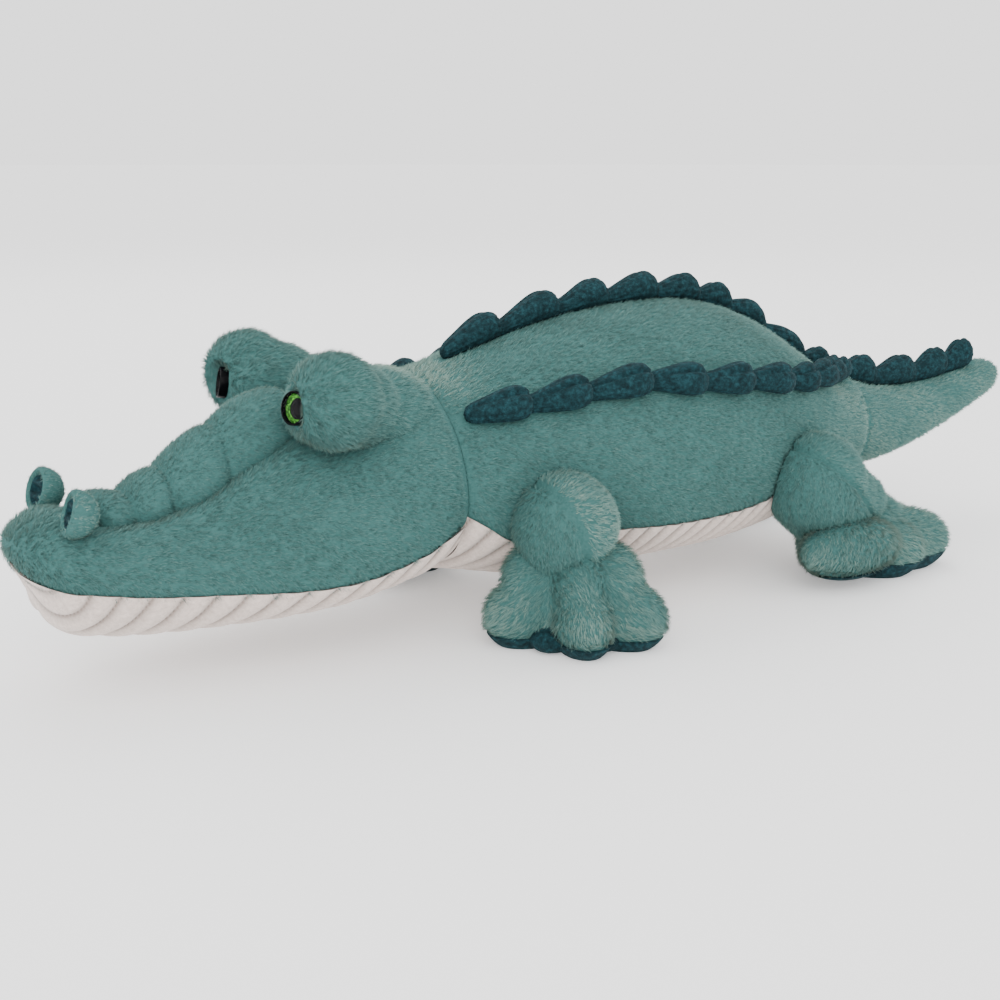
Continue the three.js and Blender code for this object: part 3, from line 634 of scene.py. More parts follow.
def spun(profile, matrix, segments=64, shape=None):
    """A turned piece: a profile of radius and height in millimetres, spun about its Z axis."""
    bm = bmesh.new()
    verts = [bm.verts.new((radius * MM, 0, height * MM)) for radius, height in profile]
    edges = [bm.edges.new(pair) for pair in zip(verts, verts[1:])]
    bmesh.ops.spin(
        bm, geom=verts + edges, cent=(0, 0, 0), axis=(0, 0, 1), angle=2 * math.pi,
        steps=segments, use_merge=True, use_duplicate=False,
    )
    mesh = mesh_from(bm, sort_faces=True)
    if shape:
        set_coordinates(mesh, shape(coordinates(mesh)))
    mesh.transform(matrix)
    return mesh


def arc(radius, height, half_width, half_height, start, end, steps):
    """Points of radius and height on an arc, its angles in degrees."""
    angles = np.radians(np.linspace(start, end, steps + 1))
    return [
        (radius + half_width * math.cos(angle), height + half_height * math.sin(angle))
        for angle in angles
    ]


def from_axis(places, matrix):
    """Places as height along a matrix's Z axis and distance from it, and that axis."""
    axis = np.array(matrix.col[2][:3])
    reach = places - np.array(matrix.translation)
    height = reach @ axis
    return height, np.linalg.norm(reach - height[:, None] * axis, axis=1), axis


# Plush pile

# Spreads of the random draws for tufts and strands: angles in degrees, lengths and widths as
# shares, and shades from 0, the darkest, to 1, the palest
SWIRL, TILT, ROLL = 13, 7, 22
TUFT_LENGTHS, STRAND_LENGTHS, STRAND_WIDTHS = (0.8, 1.08), (0.72, 1.05), (0.8, 1.15)
TIPS_APART = (0.3, 1.0)
STRAY = 0.22 * MM
PLAIN_SHADE, TUFT_SHADE, STRAND_SHADE = 0.45, 0.17, 0.07

# Slow waves over the toy: the most that they turn and shade the pile, and radians to the metre
SWIRL_WAVE, SWIRL_WAVE_AT = 9, (170, 90, 140)
SHADE_WAVE, SHADE_WAVE_AT = 0.05, (95, 60, 120)

ROOT_SINK = 0.3 * MM
FACING_RISE, FACING_STRAY = 0.5, 0.12

def strand_prototype():
    """One strand, a closed three-sided blade with a flat side up: its vertices and faces."""
    bm = bmesh.new()
    bmesh.ops.create_cone(
        bm, cap_ends=True, segments=3, radius1=1, radius2=0, depth=1,
        matrix=Matrix.Translation((0, 0, 0.5)) @ Matrix.Diagonal((1, 0.5, 1, 1)),
    )
    bmesh.ops.remove_doubles(bm, verts=bm.verts, dist=0.0001)
    bmesh.ops.recalc_face_normals(bm, faces=bm.faces)
    bmesh.ops.triangulate(bm, faces=bm.faces)
    bm.verts.index_update()
    vertices = np.array([vert.co[:] for vert in bm.verts])
    faces = np.array([[vert.index for vert in face.verts] for face in bm.faces])
    bm.free()
    single = vertices[np.argmax(np.abs(vertices[:, 1])), 1] > 0
    return (vertices * (-1, -1, 1) if single else vertices), faces


def unit(vectors):
    """Vectors with a length of one."""
    return vectors / np.maximum(np.linalg.norm(vectors, axis=-1, keepdims=True), 1e-9)


def tuft_roots(mesh, per_area, rng):
    """Random places on a mesh, evenly by area, with the way out at each."""
    mesh.calc_loop_triangles()
    corners = np.empty(len(mesh.loop_triangles) * 3, np.int32)
    mesh.loop_triangles.foreach_get("vertices", corners)
    normals = np.empty(len(mesh.vertices) * 3, np.float32)
    mesh.vertices.foreach_get("normal", normals)
    normals = normals.reshape(-1, 3).astype(float)
    triangles = coordinates(mesh)[corners.reshape(-1, 3)]
    area = np.linalg.norm(
        np.cross(triangles[:, 1] - triangles[:, 0], triangles[:, 2] - triangles[:, 0]), axis=1
    ) / 2
    chosen = rng.choice(len(area), int(area.sum() * per_area), p=area / area.sum())
    weights = rng.random((len(chosen), 2))
    weights = np.where(weights.sum(axis=1, keepdims=True) > 1, 1 - weights, weights)
    weights = np.column_stack((1 - weights.sum(axis=1), weights))[:, :, None]
    places = (triangles[chosen] * weights).sum(axis=1)
    outs = unit((normals[corners.reshape(-1, 3)[chosen]] * weights).sum(axis=1))
    return places, outs


def grow_pile(name, skins, body, comb, keep, seed, length_share=1.0, lean=58, brushed=None):
    """Strands of plush in leaning tufts, on the parts of the skins that keep leaves."""
    sizes = bpy.context.scene.crocodile_sizes
    rng = np.random.default_rng(seed)
    count = sizes.tuft_strands
    per_area = sizes.strands_per_square_mm / (MM * MM) / count
    grown = [tuft_roots(skin.data, per_area, rng) for skin in skins]
    places, outs = (np.concatenate(parts) for parts in zip(*grown))
    kept = keep(places)
    places, outs = places[kept], outs[kept]
    tufts = len(places)

    flow = comb(places)
    flow = unit(flow - outs * (flow * outs).sum(axis=1, keepdims=True))
    across = np.cross(outs, flow)
    wave = SWIRL_WAVE * np.sin(places @ SWIRL_WAVE_AT)
    swirl = np.radians(rng.normal(0, SWIRL, tufts) + wave)[:, None]
    flow = flow * np.cos(swirl) + across * np.sin(swirl)
    tilt = np.radians(rng.normal(lean, TILT, tufts))[:, None]
    reach = sizes.pile_length * length_share * rng.uniform(*TUFT_LENGTHS, (tufts, 1))
    lay = (outs * np.cos(tilt) + flow * np.sin(tilt)) * reach
    # How much paler each tuft is painted: painted sheen at the nape and behind the legs' seams,
    # paler toes, tail and nostrils
    pale = brushed(places) if brushed else np.zeros(tufts)
    dark = np.abs(rng.normal(0, TUFT_SHADE, tufts)) * (1 - np.clip(2 * pale, 0, 0.8))
    shade = PLAIN_SHADE - dark + SHADE_WAVE * np.sin(places @ SHADE_WAVE_AT) + pale

    turn = rng.uniform(0, 2 * np.pi, (tufts, count, 1))
    spread = sizes.tuft_radius * np.sqrt(rng.random((tufts, count, 1)))
    offset = spread * (np.cos(turn) * flow[:, None] + np.sin(turn) * np.cross(outs, flow)[:, None])
    roots = places[:, None] + offset - outs[:, None] * ROOT_SINK
    gather = rng.uniform(*TIPS_APART, (tufts, count, 1))
    stretch = rng.uniform(*STRAND_LENGTHS, (tufts, count, 1))
    tips = roots + lay[:, None] * stretch - offset * (1 - gather)
    tips = tips + rng.normal(0, STRAY, tips.shape)
    shade = np.clip(shade[:, None] + rng.normal(0, STRAND_SHADE, (tufts, count)), 0.02, 0.98)
    roots, tips, shade = roots.reshape(-1, 3), tips.reshape(-1, 3), shade.ravel()
    return strands_piece(name, roots, tips, np.repeat(outs, count, axis=0), shade, body, rng)


def strands_piece(name, roots, tips, outs, shade, body, rng):
    """One mesh of strands, with a map of shade across and height up each, shaded as their skin."""
    sizes = bpy.context.scene.crocodile_sizes
    vertices, faces = strand_prototype()
    strands, each = len(roots), len(vertices)
    axis = tips - roots
    side = unit(np.cross(outs, axis))
    rise = unit(np.cross(axis, side))
    roll = np.radians(rng.normal(0, ROLL, strands))[:, None]
    cos, sin = np.cos(roll), np.sin(roll)
    side, rise = side * cos + rise * sin, rise * cos - side * sin
    half = sizes.strand_width / 2 * rng.uniform(*STRAND_WIDTHS, (strands, 1, 1))
    shape = (
        roots[:, None] + side[:, None] * vertices[None, :, :1] * half
        + rise[:, None] * vertices[None, :, 1:2] * half + axis[:, None] * vertices[None, :, 2:]
    )
    index = (np.arange(strands)[:, None, None] * each + faces[None]).ravel()
    mesh = bpy.data.meshes.new(name)
    mesh.vertices.add(strands * each)
    mesh.loops.add(len(index))
    mesh.polygons.add(len(index) // 3)
    mesh.vertices.foreach_set("co", shape.astype(np.float32).ravel())
    mesh.loops.foreach_set("vertex_index", index.astype(np.int32))
    mesh.polygons.foreach_set("loop_start", np.arange(0, len(index), 3, dtype=np.int32))
    mesh.update(calc_edges=True)
    mesh.shade_smooth()
    facing = unit(outs + rise * FACING_RISE + rng.normal(0, FACING_STRAY, outs.shape))
    mesh.normals_split_custom_set_from_vertices(np.repeat(facing, each, axis=0).tolist())
    corner_height = np.where(vertices[:, 2] > 0.5, 0.995, 0.005)
    corner_aside = vertices[:, 0] * 0.004 + vertices[:, 1] * 0.002
    across = np.clip(shade[:, None] + corner_aside[None], 0.002, 0.998).ravel()[index]
    up = np.broadcast_to(corner_height, (strands, each)).ravel()[index]
    layer = mesh.uv_layers.new(name="OFBake")
    layer.data.foreach_set("uv", np.column_stack((across, up)).astype(np.float32).ravel())
    return new_piece(name, mesh, "plush_pile", body, "plush")


# Tests of places, which say where pile grows


def clear_of(points, radius):
    """A test that leaves places farther than a radius from all of some points."""
    points = np.asarray(points)

    def test(places):
        nearest = np.full(len(places), np.inf)
        for start in range(0, len(points), 32):
            apart = places[:, None] - points[None, start:start + 32]
            nearest = np.minimum(nearest, (apart**2).sum(axis=-1).min(axis=1))
        return nearest > radius * radius

    return test


def out_of_ball(ball, shrink=0.0):
    """A test that leaves places outside a stretched ball, or outside a smaller one."""
    centre, half = np.array(ball[0]), np.array(ball[1]) - shrink
    return lambda places: (((places - centre) / half) ** 2).sum(axis=1) > 1


def out_of_form(form, grow):
    """A test that leaves places outside a form."""
    return lambda places: form.fullness_at(places, grow) > 1


def out_of_opening(matrix, radius, depth):
    """A test that leaves places beside an opening, or deep below it."""

    def test(places):
        height, apart, _ = from_axis(places, matrix)
        return (apart > radius) | (height < -depth)

    return test


def above_border(border):
    """A test that leaves places over a corduroy panel's border, and what laps over it."""
    return lambda places: places[:, 2] > border(places[:, 0]) - BORDER_LAP


def on_side(side):
    """A test that leaves places on one side of the toy."""
    return lambda places: places[:, 1] * side >= 0


def all_of(*tests):
    """A test that leaves what every one of the tests leaves."""
    return lambda places: np.logical_and.reduce([test(places) for test in tests])


# Materials

def scaled_colour(value, share):
    """A colour made darker or lighter."""
    return tuple(min(channel * share, 1) for channel in value)


class Finish:
    """A node material in the making: its nodes, its links and its surface shader."""

    def __init__(self, name):
        material = bpy.data.materials.new(name)
        material.use_nodes = True
        self.nodes, self.links = material.node_tree.nodes, material.node_tree.links
        self.shader = self.nodes["Principled BSDF"]

    def fill(self, node, **values):
        """Sets a node's properties and sockets; a value that is a socket is linked."""
        for name, value in values.items():
            if hasattr(node, name):
                setattr(node, name, value)
                continue
            socket = node.inputs[name.replace("_", " ")]
            if isinstance(value, bpy.types.NodeSocket):
                self.links.new(value, socket)
            else:
                socket.default_value = value
        return node

    def node(self, kind, **values):
        """A new node with its values filled in."""
        return self.fill(self.nodes.new("ShaderNode" + kind), **values)

    def surface(self, colour, **values):
        """Fills in the surface shader."""
        self.fill(self.shader, Base_Color=colour, **values)

    def place(self):
        """The object's own coordinates."""
        return self.node("TexCoord").outputs["Object"]

    def noise(self, scale, detail=4, roughness=0.6, place=None):
        """Noise on the object's own coordinates, or on other ones."""
        place = self.place() if place is None else place
        node = self.node("TexNoise", Scale=scale, Detail=detail, Roughness=roughness, Vector=place)
        return node.outputs["Fac"]

    def ramp(self, factor, *stops):
        """The colour for a factor, through stops of a place and a colour or a grey."""
        ramp = self.node("ValToRGB", Fac=factor)
        elements = ramp.color_ramp.elements
        while len(elements) < len(stops):
            elements.new(0.5)
        for element, (at, value) in zip(elements, stops):
            element.position = at
            element.color = (*np.broadcast_to(value, 3), 1)
        return ramp.outputs["Color"]

    def mixed(self, blend, factor, first, second):
        """Two colours mixed."""
        mix = self.node("Mix", data_type="RGBA", blend_type=blend, Factor=factor, A=first, B=second)
        return mix.outputs["Result"]

    def bumped(self, height, strength, distance):
        """The surface's normal, bumped by a height."""
        bump = self.node("Bump", Strength=strength, Distance=distance, Height=height)
        return bump.outputs["Normal"]


def plush_pile(finish, colours):
    """Pile: painted shade at the root and painted sheen at the tip, each strand with its own shade,
    the palest mixed towards a pale colour.
    """
    strand = finish.node("UVMap", uv_map="OFBake").outputs["UV"]
    shade, height, _ = finish.node("SeparateXYZ", Vector=strand).outputs
    # Painted shade and sheen: darker at the root, paler at the tip
    root_shade_tip_sheen = finish.ramp(
        height, (0, colours.plush_root), (0.45, colours.plush_middle), (1, colours.plush_tip)
    )
    by_strand = finish.ramp(shade, (0, 0.45), (0.42, 0.92), (0.6, 1))
    tinted = finish.mixed("MULTIPLY", 1, root_shade_tip_sheen, by_strand)
    # Painted sheen and paleness: the palest shades are mixed towards the pale colour
    brushed, pale = finish.ramp(shade, (0.55, 0), (1, 0.8)), (*colours.plush_brushed, 1)
    finish.surface(
        finish.mixed("MIX", brushed, tinted, pale), Roughness=0.8, Specular_IOR_Level=0.15,
        Sheen_Weight=0.35, Sheen_Roughness=0.45, Sheen_Tint=pale,
    )


def plush_backing(finish, colours):
    """The knitted backing that shows between the tufts."""
    lay = finish.node("Mapping", Scale=(0.3, 1, 1), Vector=finish.place()).outputs["Vector"]
    knit = finish.noise(1100, 3, 0.5, lay)
    # The backing's darker knit uses the pile's root colour, which is painted shade
    shades = (0.3, colours.plush_root), (0.7, scaled_colour(colours.plush_middle, 0.85))
    finish.surface(
        finish.ramp(knit, *shades), Roughness=0.95, Specular_IOR_Level=0.1,
        Normal=finish.bumped(knit, 0.6, 0.8 * MM),
    )


def velour(finish, colours):
    """Short velour: dark, with brushed patches and a pale sheen at a slant."""
    patches, nap = finish.noise(420, 5, 0.7), finish.noise(1500, 3)
    shades = (
        (at, scaled_colour(colours.velour, share))
        for at, share in ((0.32, 0.35), (0.5, 0.85), (0.7, 1.9))
    )
    finish.surface(
        finish.ramp(patches, *shades), Roughness=0.85, Specular_IOR_Level=0.1, Sheen_Weight=0.14,
        Sheen_Roughness=0.35, Sheen_Tint=(*colours.velour_sheen, 1),
        Normal=finish.bumped(nap, 0.8, 0.6 * MM),
    )


def corduroy(finish, colours):
    """Corduroy: pale wales with darker grooves, the bare weave with painted shade, from the panel's
    own wale attribute.
    """
    wale = finish.node("Attribute", attribute_name="wale").outputs["Fac"]
    nap = finish.noise(620, 6, 0.75)
    wale_and_groove_shade = finish.ramp(
        wale, (0, colours.corduroy_groove), (0.5, scaled_colour(colours.corduroy, 0.8)),
        (0.9, colours.corduroy),
    )
    by_nap = finish.ramp(nap, (0.35, (0.76, 0.73, 0.72)), (0.65, 1))
    finish.surface(
        finish.mixed("MULTIPLY", 1, wale_and_groove_shade, by_nap), Roughness=0.9, Specular_IOR_Level=0.15,
        Sheen_Weight=0.3, Sheen_Roughness=0.5, Normal=finish.bumped(nap, 0.7, 0.6 * MM),
    )


def thread(finish, colours):
    """Twisted thread."""
    shades = (0.3, scaled_colour(colours.thread, 0.7)), (0.7, colours.thread)
    finish.surface(finish.ramp(finish.noise(3000), *shades), Roughness=0.7)


def eye_black(finish, colours):
    """Glossy black plastic with faint flow marks."""
    flow = finish.noise(300)
    finish.surface(
        finish.ramp(flow, (0.3, scaled_colour(colours.eye_black, 0.7)), (0.7, colours.eye_black)),
        Roughness=finish.ramp(flow, (0.3, 0.1), (0.7, 0.15)), Specular_IOR_Level=0.04,
    )


def green_glitter(finish, colours):
    """Glitter: small metal flakes, each with its own green and its own tilt, the palest greens as
    painted glints.
    """
    flakes = finish.node("TexVoronoi", Scale=1500, Vector=finish.place())
    green, tilt, _ = finish.node("SeparateXYZ", Vector=flakes.outputs["Color"]).outputs
    greens_and_painted_glints = finish.ramp(
        green, (0.2, scaled_colour(colours.eye_green, 0.12)),
        (0.5, scaled_colour(colours.eye_green, 0.7)), (0.85, colours.eye_glint),
    )
    finish.surface(
        greens_and_painted_glints, Roughness=0.4, Metallic=0.25, Normal=finish.bumped(tilt, 0.8, 0.2 * MM)
    )


def clear_dome(finish, _colours):
    """A clear dome: it lets light through, and shines more at a slant."""
    slant = finish.node("LayerWeight", Blend=0.3).outputs["Facing"]
    haze = finish.ramp(finish.noise(500), (0.3, 0.02), (0.8, 0.07))
    finish.surface((1, 1, 1, 1), Metallic=1, Roughness=haze)
    mix = finish.node("MixShader", Fac=finish.ramp(slant, (0, 0.002), (0.8, 0.005), (1, 0.04)))
    finish.links.new(finish.node("BsdfTransparent").outputs["BSDF"], mix.inputs[1])
    finish.links.new(finish.shader.outputs["BSDF"], mix.inputs[2])
    finish.fill(finish.nodes["Material Output"], Surface=mix.outputs["Shader"])


def washer_plastic(finish, colours):
    """Milky moulded plastic."""
    shades = (0.3, scaled_colour(colours.washer, 0.9)), (0.7, colours.washer)
    finish.surface(finish.ramp(finish.noise(700), *shades), Roughness=0.5)


def studio_floor(finish, colours):
    """A plain matt studio floor."""
    finish.surface(
        (*colours.floor, 1), Roughness=0.9, Specular_IOR_Level=0.1, Emission_Color=(1, 1, 1, 1),
        Emission_Strength=0.3,
    )


FINISHES = {
    build.__name__: build for build in (
        plush_pile, plush_backing, velour, corduroy, thread, eye_black, green_glitter, clear_dome,
        washer_plastic, studio_floor,
    )
}


def material_named(name):
    """The material for a finish, made when it is first used."""
    full_name = f"sewn_{name}"
    if full_name not in bpy.data.materials:
        FINISHES[name](Finish(full_name), bpy.context.scene.crocodile_colours)
    return bpy.data.materials[full_name]


# Pieces

def backward(places):
    """Plush combed back and a little down."""
    return np.broadcast_to(np.array((1.0, 0.0, -0.3)), places.shape)


def downward(places):
    """Plush combed down and a little back."""
    return np.broadcast_to(np.array((0.25, 0.0, -1.0)), places.shape)


def over_border(border):
    """A comb that lays the plush back, and down over the corduroy at its border."""

    def comb(places):
        near = np.clip(1 - (places[:, 2] - border(places[:, 0])) / (6 * MM), 0, 1)
        return backward(places) - np.array((0, 0, 1.0)) * near[:, None]

    return comb


def brushed_up(places):
    """How much paler the plush is painted: painted sheen at the nape, and paler round the tail's
    root.
    """
    # Painted sheen at the nape; paler round the tail's root
    nape_from_neck, nape_spread, nape_most = (-58, 0, 58), (32, 60, 26), 0.5
    from_nape = ((places - NECK) / MM - nape_from_neck) / nape_spread
    nape = nape_most * np.exp(-(from_nape**2).sum(axis=1))
    reach, tail_most = 60 * MM, 0.22
    return nape + tail_most * np.clip((places[:, 0] - TAIL_ROOT[0]) / reach + 1, 0, 1)


def bend_with(piece, other):
    """Bakes a piece's placement into its mesh, the same whether it goes with the head or with the
    tail.
    """
    if other == "head":
        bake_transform(piece)
    else:
        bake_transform(piece)


def ridge_line(form, rows, steps):
    """The line of a ridge on a form: its places and the ways out."""
    table = smooth_curve([(i / (len(rows) - 1), *row) for i, row in enumerate(rows)])
    along, aside = np.moveaxis(table(np.linspace(0, 1, steps)), -1, 0)
    x = form.start + along * form.length
    angle = np.arccos(np.clip(-aside, -1, 1))
    half, _, up, _ = form.section(x)
    outs = unit(np.stack((np.zeros_like(x), np.cos(angle) / half, np.sin(angle) / up), axis=-1))
    return form.point(x, angle), outs


def mirrored(places, side):
    """Places on the toy's left, moved to its right where side is 1."""
    return places * (1, -side, 1)


RIDGES = [
    ("middle_ridge", body_form, MIDDLE_RIDGE, -1),
    ("left_ridge", body_form, SIDE_RIDGE, -1),
    ("right_ridge", body_form, SIDE_RIDGE, 1),
    ("tail_ridge", tail_form, TAIL_RIDGE, -1),
]


def clear_of_ridges(form):
    """A test that leaves places that no ridge on a form covers."""
    steps, bare_half_width = 160, 4.6 * MM
    return all_of(*(
        clear_of(mirrored(ridge_line(form, rows, steps)[0], side), bare_half_width)
        for _, carrier, rows, side in RIDGES if carrier is form
    ))


def leg_balls(leg, side, shrink=0.0):
    """The stretched balls of a leg and of its foot, in the row frame."""
    spec = LEGS[leg]
    hip = JOINTS[f"{leg}_{'left' if side < 0 else 'right'}_swing"]
    mirror = np.array((1, -side, 1))

    def ball(offset, half, turn=0.0, base=hip):
        centre = base + np.array(offset) * MM * mirror
        return Vector(centre), [size * MM - shrink for size in half], -side * turn

    upper = [ball(at, half) for at, half in spec["upper"]]
    floor = np.array((hip[0], hip[1], 0))
    foot_x, foot_y = spec["foot_at"]
    instep_z = spec["instep_top"] - spec["instep"][2]
    foot = [ball((foot_x, foot_y, instep_z), spec["instep"], base=floor)]
    foot += [ball(at, half, math.radians(turn), floor) for at, half, turn in spec["lobes"]]
    long_half, wide, tall = spec["toe"]
    knuckle_share, knuckle_z = spec["knuckle_at"]
    for degrees, reach, share in spec["toes"]:
        turn = math.radians(degrees)
        out = spec["toe_reach"] * reach
        for at, z, half in (
            (out, tall * TOE_HEIGHT, (long_half * share, wide, tall)),
            (out * knuckle_share, knuckle_z, spec["knuckle"]),
        ):
            offset = (foot_x - at * math.cos(turn), foot_y - at * math.sin(turn), z)
            foot.append(ball(offset, half, turn, floor))
    return upper, foot


def mound_balls(side, shrink):
    """The stretched balls of an eye mound: a dome round the eye, and a hood that runs back."""
    centre = mound_centre(side)
    spec = (
        ((0, 0, 0), MOUND_HALF + 0.8 * MM),
        ((0, -14, -5), MOUND_HALF * 0.8),
        ((11, -8, -4), np.array((20, 18.5, 18.5)) * MM),
        ((28, -20, -11), np.array((28, 22, 20)) * MM),
    )
    return [
        (Vector(centre + np.array((x, side * y, z)) * MM), list(half - shrink), 0)
        for (x, y, z), half in spec
    ]


def clear_of_thighs():
    """A test that leaves places of the body that no thigh covers."""
    return all_of(*(
        out_of_ball(leg_balls(leg, side)[0][0], 3 * MM) for leg in LEGS for side, _ in SIDES
    ))


class CrocodileOperator:
    """What the operators share."""

    bl_options = {"REGISTER", "UNDO"}


class CROC_OT_body(CrocodileOperator, bpy.types.Operator):
    """Stuffs the body in two halves, front and rear"""

    bl_idname = "crocodile.body"
    bl_label = "Body"

    def execute(self, context):
        sizes = context.scene.crocodile_sizes
        depth, tuck, lap = sizes.pile_depth, sizes.panel_tuck, 4 * MM
        middle, rear_x = body_form.start + body_form.length * 0.5, TAIL_ROOT[0] + TAIL_COLLAR
        neck_radius, tail_radius = NECK_BALL - 0.8 * MM - depth, TAIL_BALL - 0.4 * MM

        def neck_at(angle):
            return crossing(body_form, angle, NECK, neck_radius, body_form.start, NECK[0], -depth)

        def on_front(places):
            inside = np.linalg.norm(places - NECK, axis=1) < neck_radius - 1.8 * MM
            return (inside | (places[:, 0] > NECK[0])) & (places[:, 0] <= middle)

        def on_rear(places):
            x = places[:, 0]
            outside = (body_form.fullness_at(places, -depth) > 0.985) | (x > rear_x - 1 * MM)
            return outside & (x > middle) & (x < rear_x + 10 * MM)

        # The body ends just inside the balls that the head and the tail turn round
        neck_end = (neck_at, ball_cap(NECK, neck_radius, (-1, 0, 0)))
        tail_end = (at_x(rear_x), ball_cap(TAIL_ROOT, tail_radius, (1, 0, 0)))
        halves = (
            ("front", "head", (neck_end, (at_x(middle + lap), flat_cap)), on_front),
            ("rear", "tail", ((at_x(middle - lap), flat_cap), tail_end), on_rear),
        )
        bare = all_of(above_border(belly_border), clear_of_ridges(body_form), clear_of_thighs())
        seed = 1
        for half, other, ends, on_half in halves:
            plain = skin_between(body_form, -depth, ends, neck_dip(sizes.seam_dip))

            def place(along, round_share, plain=plain):
                return tucked(body_form, belly_border, plain(along, round_share), tuck)

            skin = new_backing(f"body_{half}", wrapped_skin(place), None, "body")
            for side, name in SIDES:
                keep = all_of(on_half, bare, on_side(side))
                pile = grow_pile(
                    f"body_{half}_{name}_pile", [skin], None, over_border(belly_border), keep,
                    seed, brushed=brushed_up,
                )
                bend_with(pile, other)
                seed += 1
            bend_with(skin, other)
        return {"FINISHED"}


class CROC_OT_head(CrocodileOperator, bpy.types.Operator):
    """Stuffs the head: its backing, closed by a socket at the neck, and its pile"""

    bl_idname = "crocodile.head"
    bl_label = "Head"

    def execute(self, context):
        sizes = context.scene.crocodile_sizes
        depth, radius = sizes.pile_depth, NECK_BALL + 0.2 * MM
        front_x, end = head_form.start + depth, head_form.start + head_form.length

        def seam_at(angle):
            return crossing(head_form, angle, NECK, radius, front_x + 30 * MM, end, -depth)

        ends = ((at_x(front_x), flat_cap), (seam_at, ball_cap(NECK, radius, (-1, 0, 0))))
        plain = skin_between(head_form, -depth, ends, neck_dip(sizes.seam_dip * 1.4, 14 * MM))

        def place(along, round_share):
            places = tucked(head_form, chin_border, plain(along, round_share), sizes.panel_tuck)
            return set_back(self.rolled(places))

        def before_seam(places):
            """Places before the neck's seam, which the skin is drawn in beside."""
            apart = head_form.pushed_out(places, -depth) - NECK
            return np.linalg.norm(apart, axis=1) > radius + 4 * MM

        skin = new_backing("head_backing", wrapped_skin(place), "head", "head")
        mounds = [ball for side, _ in SIDES for ball in mound_balls(side, depth)]
        bare = all_of(
            before_seam, above_border(chin_border), out_of_form(strip_form, -3 * MM),
            *(out_of_ball(ball, 0.5 * MM) for ball in mounds),
        )
        for side, name in SIDES:
            grow_pile(
                f"head_{name}_pile", [skin], "head", over_border(chin_border),
                all_of(bare, on_side(side)), 10 + side, brushed=brushed_up,
            )
        return {"FINISHED"}

    def rolled(self, places):
        """The side panels raised in a soft roll on both sides of the strip."""
        lift, spread, aside, half_width = 4.5 * MM, 1.5 * MM, 27 * MM, 7 * MM
        first, first_fade, last, last_fade, top_fade = (
            size * MM for size in (22, 25, 118, 30, 8)
        )
        x, y, z = places.T
        beside = np.exp(-((np.abs(y) - aside) / half_width) ** 2)
        along = np.clip((x - head_form.start - first) / first_fade, 0, 1)
        along = along * np.clip((head_form.start + last - x) / last_fade, 0, 1)
        above = np.clip((z - head_form.section(x)[1]) / top_fade, 0, 1)
        raised = places.copy()
        raised[:, 2] += lift * beside * along * above
        raised[:, 1] += np.sign(y) * spread * beside * along * above
        return raised


class CROC_OT_tail(CrocodileOperator, bpy.types.Operator):
    """Stuffs the tail: its backing and its pile"""

    bl_idname = "crocodile.tail"
    bl_label = "Tail"

    def execute(self, context):
        depth, radius = context.scene.crocodile_sizes.pile_depth, TAIL_BALL + 0.2 * MM
        start, tip_x = tail_form.start, tail_form.start + tail_form.length - depth

        def seam_at(angle):
            return crossing(tail_form, angle, TAIL_ROOT, radius, start, start + 50 * MM, -depth)

        def from_seam(places):
            return np.linalg.norm(places - TAIL_ROOT, axis=1) - radius

        def over_seam(places):
            """Plush combed back, but forward over the seam beside it."""
            forward = np.clip(1 - from_seam(places) / (4 * MM), 0, 1)
            return backward(places) * (1 - 2 * forward)[:, None]

        ends = ((seam_at, ball_cap(TAIL_ROOT, radius, (1, 0, 0))), (at_x(tip_x), flat_cap))
        mesh = wrapped_skin(skin_between(tail_form, -depth, ends), 80, 64)
        skin = new_backing("tail_backing", mesh, "tail", "tail")
        keep = all_of(lambda places: from_seam(places) > 0.2 * MM, clear_of_ridges(tail_form))
        grow_pile("tail_pile", [skin], "tail", over_seam, keep, 20, brushed=brushed_up)
        return {"FINISHED"}


